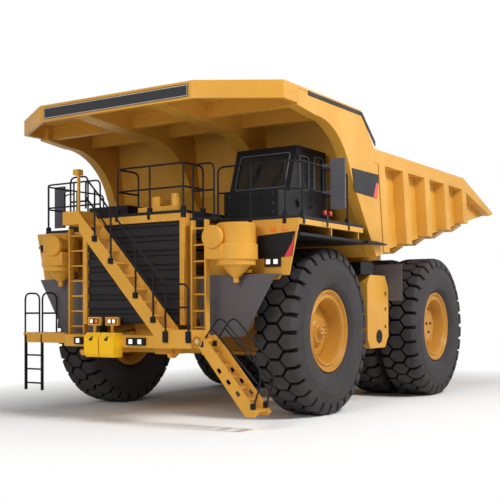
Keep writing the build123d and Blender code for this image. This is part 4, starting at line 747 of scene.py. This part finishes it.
def folding_ladder():
    """The folding ladder: stringers pierced between the treads, and open treads with raised edges."""
    pivot_y, pivot_z = LADDER_PIVOT
    foot_y, foot_z = LADDER_FOOT
    lobe, pin = 0.105, 0.0365
    outline = arc(LADDER_PIVOT, lobe, (radians(270 - 180 * n / 16) for n in range(17)))
    outline += [ladder_spot(0, 0, 0.172)[1:], ladder_spot(0, 1, 0.02)[1:], (foot_y - 0.06, foot_z - 0.06),
                (foot_y - 0.26, foot_z - 0.06), (pivot_y + 0.06, pivot_z - 0.16)]
    holes = [[ladder_spot(0, share + along, lift)[1:] for along, lift in HOLE] for share in HOLE_SHARES]
    holes.append(arc(LADDER_PIVOT, pin, (pi * n / 12 for n in range(24))))
    for face, word, replaced in zip(LADDER_FACES, ("front", "rear"), (("access_ladder",), ())):
        pierced_plate("ladder_stringer_" + word, outline, holes, face, STRINGER, yellow, "access_ladder",
                      replaced)
    width = (LADDER_FACES[1] - 0.001, LADDER_FACES[0] - STRINGER + 0.001)
    spans = []
    for number in range(LADDER_STEPS):
        _, y, z = ladder_spot(0, (number + 1) / (LADDER_STEPS + 0.4), -0.01)
        edge = (z - 0.045, z - 0.002)
        spans += [(width, (y - 0.12, y + 0.04), (z - 0.022, z - 0.010)),
                  (width, (y + 0.028, y + 0.04), edge), (width, (y - 0.12, y - 0.108), edge)]
    blocks("ladder_treads", spans, yellow, "access_ladder", 0.002)


def ladder_handrails():
    """Round handrails of the folding ladder, each one tube that bends down to the foot of its stringer."""
    # Share of the slope and lift of each bend
    rail = ((0.05, 0.03), (0.0, 0.706), (0.62, 0.69), (0.80, 0.50), (0.91, 0.05))
    paths, spans = [], []
    for face in LADDER_FACES:
        x = face - STRINGER / 2
        paths.append(rounded([ladder_spot(x, share, lift) for share, lift in rail], 0.2))
        paths.append([ladder_spot(x, 0.02, 0.4), ladder_spot(x, 0.82, 0.4)])
        for share in (0.05, 0.91):
            _, y, z = ladder_spot(face, share, 0.03)
            spans.append((span(face, 0.04, 0.012), span(y, 0.05), span(z, 0.06, 0.05)))
    tubes("ladder_handrails", paths, 0.0165, black, "access_ladder", ("ladder_rails",))
    blocks("ladder_rail_clamps", spans, black, "access_ladder", 0.006)


def hinge_bolts():
    """Ring of bolts and the pale grease cap on the round cover of the ladder's hinge."""
    face = ahead(3.4213)
    ring = [(face, y, z) for y, z in arc(LADDER_PIVOT, 0.08, (pi * n / 5 for n in range(10)))]
    bolts("hinge_cover_bolts", ring, (1, 0, 0), 0.026, black, "chassis")
    bolts("hinge_grease_cap", [(face, *LADDER_PIVOT)], (1, 0, 0), 0.055, pale, "chassis")


# Lamps and plates
PANEL_X = ahead(2.0403)


def lens_squares(name, spots, size, material, body):
    """Square lamp lenses that face forward, each a shallow pillow in its bezel."""
    spans = [(span(x, 0.004, 0.012), span(y, size / 2), span(z, size / 2)) for x, y, z in spots]
    blocks(name, spans, material, body, 0.006)


def lamps():
    """White lamps on the fenders and the bumper, amber markers and the red lamps at the deck's edge."""
    fender, bumper, stand = ahead(2.1103), ahead(3.2203), ahead(3.02)
    white = [(fender, side * y, 3.195) for side in (1, -1) for y in (2.835, 3.005)]
    white += [(bumper, y, 1.615) for y in (0.25, 0.48, -1.18)]
    lens_squares("white_lenses", white, 0.095, lens, "chassis")
    recesses = [(span(stand, 0.005, 0.006), span(y, 0.13), (1.965, 2.075)) for y in (-0.895, -0.415)]
    blocks("lamp_recesses", recesses, black, "chassis", 0.006)
    work = [(stand + 0.004, y, 2.02) for y in (-0.965, -0.475, -0.355)]
    lens_squares("work_lenses", work, 0.08, lens, "chassis")
    lens_squares("amber_lenses", [(stand + 0.004, -0.83, 2.02)], 0.08, amber_lens, "chassis")
    markers = [(span(PANEL_X, 0.002, 0.05), span(side * y, 0.05), (3.80, 3.865))
               for side in (1, -1) for y in (2.92, 3.17)]
    blocks("amber_markers", markers, amber_lens, "chassis", 0.012)
    edge = [(span(x, 0.04), span(side * 3.452, 0.03), (4.18, 4.28))
            for side in (1, -1) for x in (ahead(0.62), ahead(0.86))]
    blocks("red_edge_lamps", edge, red_film, "chassis", 0.02)


def plate_trim():
    """Red slanted ends of the blank plates on the body's shoulders and the fender panels."""
    face = ahead(2.0543)
    for side, word in SIDES:
        shoulder = [(ahead(x), side * 3.464, z)
                    for x, z in ((-1.79, 5.11), (-1.70, 4.77), (-1.50, 4.776), (-1.66, 5.11))]
        slabs("shoulder_stripe_" + word, [shoulder], (0, side * 0.002, 0), red_film, "dump_body", 0.0005)
        fender = [(face, side * y, z)
                  for y, z in ((3.17, 3.284), (3.335, 3.29), (3.400, 3.74), (3.34, 3.56))]
        slabs("fender_stripe_" + word, [fender], (0.002, 0, 0), red_film, "chassis", 0.0005)


# Nose
def grille_bolts():
    """Row of pale bolts over the grille and yellow ones down both posts of its frame."""
    face = ahead(2.8703)
    spots = [(face, -0.25 + 0.27 * number, 4.085) for number in range(6)]
    bolts("grille_bolts", spots, (1, 0, 0), 0.028, pale, "chassis")
    side = [(face, y, 2.1 + 0.38 * number) for number in range(6) for y in (-1.285, 1.285)]
    bolts("frame_bolts", side, (1, 0, 0), 0.034, yellow, "chassis")


# Sections of an air cleaner in (distance, radius): its drum from the bottom up, its inlet cap going ahead
DRUM_SECTION = (
    (0.0, 0.050), (0.0, 0.058), (0.11, 0.060), (0.113, 0.088), (0.125, 0.098), (0.318, 0.285),
    (0.33, 0.300), (0.331, 0.378), (0.34, 0.388), (0.43, 0.390), (0.441, 0.400), (0.442, 0.424),
    (0.452, 0.430), (0.74, 0.430), (0.749, 0.424), (0.75, 0.400), (0.76, 0.390), (1.12, 0.390),
    (1.128, 0.394), (1.14, 0.394), (1.150, 0.388), (1.168, 0.340), (1.17, 0.05),
)
CAP_SECTION = (
    (0.0, 0.10), (0.0, 0.172), (0.42, 0.175), (0.43, 0.215), (0.438, 0.225), (0.525, 0.225),
    (0.534, 0.220), (0.540, 0.205), (0.540, 0.02),
)


def air_cleaners():
    """Smooth steel drums with clamp band, hinged service box, dust cone and round inlet cap."""
    x = ahead(2.4953)
    for side, word in SIDES:
        y = side * 2.33
        bm = bmesh.new()
        turned(bm, (x, y, 2.79), (0, 0, 1), DRUM_SECTION)
        turned(bm, (x, y - side * 0.23, 3.67), (1, 0, 0), CAP_SECTION)
        mesh_piece("dust_drum_" + word, bm, yellow, "chassis", ("air_cleaners",), 30)
        inner, outer = sorted((y - side * 0.45, y - side * 0.04))
        spans = [((x, x + 0.452), (inner, outer), (3.24, 3.53)), ((PANEL_X, x), span(y, 0.18), (3.65, 3.77)),
                 ((PANEL_X, x), span(y, 0.10), (2.98, 3.06))]
        blocks("drum_box_" + word, spans, yellow, "chassis", 0.010)
        heads = [(x + 0.454, inner + share * (outer - inner), z)
                 for share in (0.15, 0.85) for z in (3.28, 3.49)]
        bolts("drum_box_bolts_" + word, heads, (1, 0, 0), 0.026, yellow, "chassis")


# Ladders beside the radiator and the access at the right front corner
RUNG = 0.019


def add_ladder(bm, x, y, low, high, width, depth, rung):
    """Upright ladder with flat side rails and round rungs."""
    for side in (-1, 1):
        add_block(bm, (x - depth, x), span(y + side * width / 2, 0.02), (low, high))
    count = round((high - low) / 0.33)
    for number in range(count):
        z = low + (number + 0.5) * (high - low) / count
        turned(bm, (x - depth / 2, y - width / 2, z), (0, 1, 0), [(0, rung), (width, rung)], 16)


def ladders():
    """Service ladders on both sides of the radiator, the right platform, its hanging ladder and hoops."""
    bm = bmesh.new()
    face, low, high = ahead(2.81), 1.7403, 4.04
    add_ladder(bm, face, 1.64, low, high, 0.33, 0.14, RUNG)
    add_ladder(bm, face, -1.59, low, high, 0.42, 0.14, RUNG)
    x = ahead(2.6)
    add_block(bm, span(x, 0.22, 0.3), (-3.1, -1.85), (1.70, 1.76))
    add_block(bm, (x + 0.16, x + 0.3), (-3.0, -1.7503), (1.54, 1.705))
    soften(mesh_piece("service_ladders", bm, yellow, "chassis", ("side_ladders",)), 0.004)
    bm = bmesh.new()
    add_ladder(bm, x + 0.3, -2.8, 0.48, 1.72, 0.5, 0.06, RUNG)
    mesh_piece("hanging_ladder", bm, black, "chassis")
    back, front = span(x, 0.18, 0.27)
    foot, middle, top = 1.74, 2.19, 2.64
    paths = []
    for y in (-3.07, -2.54):
        paths.append(rounded([(back, y, foot), (back, y, top), (front, y, top), (front, y, foot)], 0.16))
        paths.append([(back, y, middle), (front, y, middle)])
    tubes("access_hoops", paths, RAIL, black, "chassis")


# Cab
def front_glass_x(z):
    """X of the cab's sloping front at a height."""
    return ahead(1.12) - max(0.0, z - 4.76) * 0.3404


def seal_path(corners):
    """A closed path round a pane with bent corners, from the middle of one side."""
    start = (Vector(corners[0]) + Vector(corners[-1])) / 2
    return rounded([start] + corners + [start], 0.07)


def window_seals():
    """Grey rubber seals round the front, rear and door panes, and the door's handle."""
    front = [(front_glass_x(z) + 0.004, y, z) for y, z in oblong(1.43, 2.65, 4.80, 5.55)]
    rear, door = (
        [(ahead(x), 2.784, z) for x, z in oblong(*pane)]
        for pane in ((-0.38, 0.06, 4.80, 5.55), (0.296, 0.689, 4.78, 5.494))
    )
    tubes("window_seals", [seal_path(front), seal_path(rear)], 0.011, seal_rubber, "chassis")
    tubes("door_seal", [seal_path(door)], 0.010, seal_rubber, "cab_door")
    handle = [(ahead(0.25), y, z) for y, z in ((2.782, 4.62), (2.83, 4.62), (2.83, 4.42), (2.782, 4.42))]
    tubes("door_handle", [rounded(handle, 0.03)], 0.011, black, "cab_door")


def wipers():
    """Two wiper arms with blades on the front pane."""
    # Lift off the glass, shift across it and height of both ends
    arm = ((0.02, 0.0, 4.80), (0.015, 0.22, 5.38))
    blade = ((0.006, 0.15, 5.02), (0.006, 0.24, 5.50))
    paths = [[(front_glass_x(z) + lift, y + shift, z) for lift, shift, z in ends]
             for y in (1.75, 2.30) for ends in (arm, blade)]
    tubes("wipers", paths, 0.009, black, "chassis")


def front_box_bolts():
    """Grey bolts in three rows down the box ahead of the cab."""
    face = ahead(1.6203)
    spots = [(face, y, z) for y in (1.62, 2.13, 2.66) for z in (4.24, 4.42, 4.60)]
    bolts("front_box_bolts", spots, (1, 0, 0), 0.026, mirror_grey, "chassis")


def mirror_frames():
    """Bent tubes that carry the mirrors from the railing."""
    x, low, high = ahead(0.95) - 0.06, 4.55, 5.10
    bends = ((3.43, low), (3.60, low), (3.74, low + 0.05), (3.74, high - 0.05), (3.60, high), (3.43, high))
    paths = [rounded([(x, side * y, z) for y, z in bends], 0.08) for side in (1, -1)]
    tubes("mirror_frames", paths, 0.016, black, "chassis")


def operator_cushions():
    """Seat and backrest as crowned pads of woven cloth on their pedestal."""
    x, y, floor = ahead(0.15), 2.04, 4.20
    cushion, back = floor + 0.38, floor + 0.50
    pedestal = [(span(x, 0.18), span(y, 0.18), (floor + 0.0003, cushion))]
    blocks("seat_pedestal", pedestal, dash_plastic, "chassis", 0.02)
    for name, low, high, lean, replaced in (
        ("seat_pad", (x - 0.26, y - 0.26, cushion), (x + 0.28, y + 0.26, back), 0.0, ("operator_seat",)),
        ("back_pad", (x - 0.25, y - 0.25, back), (x - 0.14, y + 0.25, floor + 1.15), -0.10, ()),
    ):
        bm = bmesh.new()
        add_block(bm, *zip(low, high))
        bmesh.ops.subdivide_edges(bm, edges=bm.edges[:], cuts=5, use_grid_fill=True)
        middle = [(a + b) / 2 for a, b in zip(low, high)]
        reach = [(b - a) / 2 for a, b in zip(low, high)]
        thin = reach.index(min(reach))
        for vert in bm.verts:
            share = [(vert.co[i] - middle[i]) / reach[i] for i in range(3)]
            first, second = (share[i] for i in range(3) if i != thin)
            crown = (1 - first ** 4) * (1 - second ** 4)
            vert.co[thin] = middle[thin] + share[thin] * reach[thin] * (0.72 + 0.28 * crown)
            vert.co.x += lean * (vert.co.z - low[2]) / (high[2] - low[2])
        pad = mesh_piece(name, bm, cloth, "chassis", replaced, 80)
        smooth = pad.modifiers.new("stuffing", "SUBSURF")
        smooth.levels = smooth.render_levels = 1


# Hoists, tank and bumper
HOIST_BASE = Vector((REAR_HUB.x + 2.2, 1.18, 1.25))
HOIST_EYE = Vector((REAR_HUB.x + 2.4, 1.18, 3.30))
# Cross section of an eye in (distance, radius)
EYE_SECTION = (
    (-0.1237, 0.128), (-0.1237, 0.150), (-0.112, 0.165), (0.112, 0.165), (0.1237, 0.150), (0.1237, 0.128),
)


def hoists():
    """Smooth hoist cylinders: painted barrel with its gland ring, ground stage and rod with its eye."""
    length = (HOIST_EYE - HOIST_BASE).length
    gland, collar, end = length - 0.32, length - 0.26, length - 0.11
    for name, stations, eye, material, node in (
        ("hoist_barrel_shells",
         ((0.10, 0.06), (0.10, 0.170), (0.115, 0.185), (gland - 0.09, 0.185), (gland - 0.085, 0.196),
          (gland - 0.015, 0.196), (gland, 0.188), (gland, 0.152)),
         HOIST_BASE, yellow, "hoist_barrels"),
        ("hoist_stage_tubes",
         ((0.24, 0.10), (0.24, 0.149), (collar - 0.04, 0.149), (collar - 0.035, 0.158),
          (collar - 0.002, 0.158), (collar, 0.117)),
         None, chrome, "hoist_stages"),
        ("hoist_rod_ends", ((0.33, 0.03), (0.33, 0.114), (end - 0.01, 0.114), (end, 0.09)),
         HOIST_EYE, chrome, "hoist_rods"),
    ):
        bm = bmesh.new()
        for side in (1, -1):
            flip = Vector((1, side, 1))
            base, top = HOIST_BASE * flip, HOIST_EYE * flip
            turned(bm, base, top - base, stations, 48)
            if eye:
                turned(bm, eye * flip, (0, 1, 0), EYE_SECTION, 48)
        mesh_piece(name, bm, material, node, (node,), 30)


def tank_details():
    """Black patches of painted shade in the square bolt windows, and the round sight cover of the fuel tank.
    """
    face = 3.0505
    # Black patches flush on the tank's face are painted shade inside the bolt windows
    holes = [(span(ahead(-3.06), 0.035), span(face, 0.004), span(z, 0.045)) for z in (1.83, 2.25, 2.62)]
    blocks("tank_window_shade", holes, black, "chassis", 0.003)
    bm = bmesh.new()
    cover = ((0, 0.16), (0.014, 0.16), (0.018, 0.150), (0.018, 0.125), (0.006, 0.115), (0.006, 0.04),
             (0.02, 0.03))
    turned(bm, (ahead(-2.69), face - 0.002, 1.60), (0, 1, 0), cover, 48)
    mesh_piece("tank_sight_cover", bm, black, "chassis", crease=30)


def guard_latches():
    """Black draw latches and the bolts of the two bright guard blocks on the bumper."""
    face = ahead(3.4302)
    middles = (-0.62, -0.21)
    hook = ((-0.045, -0.03), (0.03, -0.03), (0.05, 0.03), (0.03, 0.07), (0.01, 0.03), (-0.045, 0.01))
    outlines = [[(face, y + dy, 1.66 + dz) for dy, dz in hook] for y in middles]
    slabs("guard_latches", outlines, (0.018, 0, 0), black, "chassis")
    pins = [(face + 0.008, y + dy, 1.33) for y in middles for dy in (-0.12, 0.12)]
    bolts("guard_bolts", pins, (1, 0, 0), 0.026, guard_yellow, "chassis")


for make in (
    tyres, rims, railings, stair_clamps, folding_ladder, ladder_handrails, hinge_bolts, lamps, plate_trim,
    grille_bolts, air_cleaners, ladders, window_seals, wipers, front_box_bolts, mirror_frames,
    operator_cushions, hoists, tank_details, guard_latches,
):
    make()


# Camera, floor and light
def photo_camera():
    """The camera of the photograph: low, ahead of the truck and to its left."""
    place = Vector((21.654, 12.289, 2.277))
    yaw, pitch, roll = (radians(a) for a in (214.28, 1.037, -0.231))
    gaze = Vector((cos(pitch) * cos(yaw), cos(pitch) * sin(yaw), sin(pitch)))
    right = gaze.cross(Vector((0, 0, 1))).normalized()
    up = right.cross(gaze)
    right, up = cos(roll) * right + sin(roll) * up, cos(roll) * up - sin(roll) * right
    data = bpy.data.cameras.new("photo_camera")
    data.lens, data.sensor_width = 67.84, 36
    data.shift_x, data.shift_y = 0.0866, 0.0831
    data.clip_end = 500
    camera = linked("photo_camera", data)
    camera.matrix_world = Matrix.Translation(place) @ Matrix((right, up, -gaze)).transposed().to_4x4()
    bpy.context.scene.camera = camera


def is_seen(tree):
    """1 for rays from the camera, off gloss or through glass, which see the white studio."""
    path = add(tree, "ShaderNodeLightPath")
    seen = path.outputs["Is Camera Ray"]
    for kind in ("Is Glossy Ray", "Is Transmission Ray"):
        seen = add(tree, "ShaderNodeMath", {"operation": "MAXIMUM"},
                   {0: seen, 1: path.outputs[kind]}).outputs[0]
    return seen


def white_floor():
    """Matt white floor that keeps the shadow and fades into the background far from the truck."""
    material, tree, shader, place = new_material("white_floor", Base_Color=linear("FFFFFF"), Roughness=0.9,
                                                 Specular_IOR_Level=0.0)
    # Distance outside the truck's footprint, half of it 6.5 m by 3 m
    past = place
    for operation, other in (("ABSOLUTE", (0, 0, 0)), ("SUBTRACT", (6.5, 3.0, 0.0)), ("MAXIMUM", (0, 0, 0))):
        past = add(tree, "ShaderNodeVectorMath", {"operation": operation, 1: other},
                   {0: past}).outputs["Vector"]
    distance = add(tree, "ShaderNodeVectorMath", {"operation": "LENGTH"}, {0: past}).outputs["Value"]
    # The fade ends 6 m out
    fade = ramp(tree, distance, 0.0, 6.0)
    hidden = add(tree, "ShaderNodeMath", {"operation": "MULTIPLY"}, {0: fade, 1: is_seen(tree)}).outputs[0]
    left = add(tree, "ShaderNodeMath", {"operation": "SUBTRACT", 0: 1.0}, {1: hidden}).outputs[0]
    tree.links.new(left, shader.inputs["Alpha"])
    return material


def studio():
    """White studio: a white floor, a soft sky, a key lamp to the truck's left and two weaker fills."""
    world = bpy.data.worlds.new("studio")
    world.use_nodes = True
    tree = world.node_tree
    background = tree.nodes["Background"]
    background.inputs["Color"].default_value = (1, 1, 1, 1)
    tree.links.new(ramp(tree, is_seen(tree), 0, 1, 0.20, 1.0), background.inputs["Strength"])
    bpy.context.scene.world = world
    mesh = bpy.data.meshes.new("floor")
    mesh.from_pydata([(x, y, 0) for x, y in oblong(-90, 90, -90, 90)], [], [(0, 1, 2, 3)])
    mesh.materials.append(white_floor())
    linked("floor", mesh)
    # Name, place, watts and width in metres
    for name, spot, power, size in (
        ("key", (5, 18, 18), 3900, 5),
        ("front_fill", (24, 3, 9), 1500, 7),
        ("rear_fill", (-16, 18, 10), 700, 8),
    ):
        data = bpy.data.lights.new(name, "AREA")
        data.energy, data.size = power, size
        lamp = linked(name, data)
        lamp.location = spot
        lamp.rotation_euler = (Vector((0, 0, 2.5)) - Vector(spot)).to_track_quat("-Z", "Y").to_euler()
    bpy.context.scene.view_settings.view_transform = "Standard"


photo_camera()
studio()
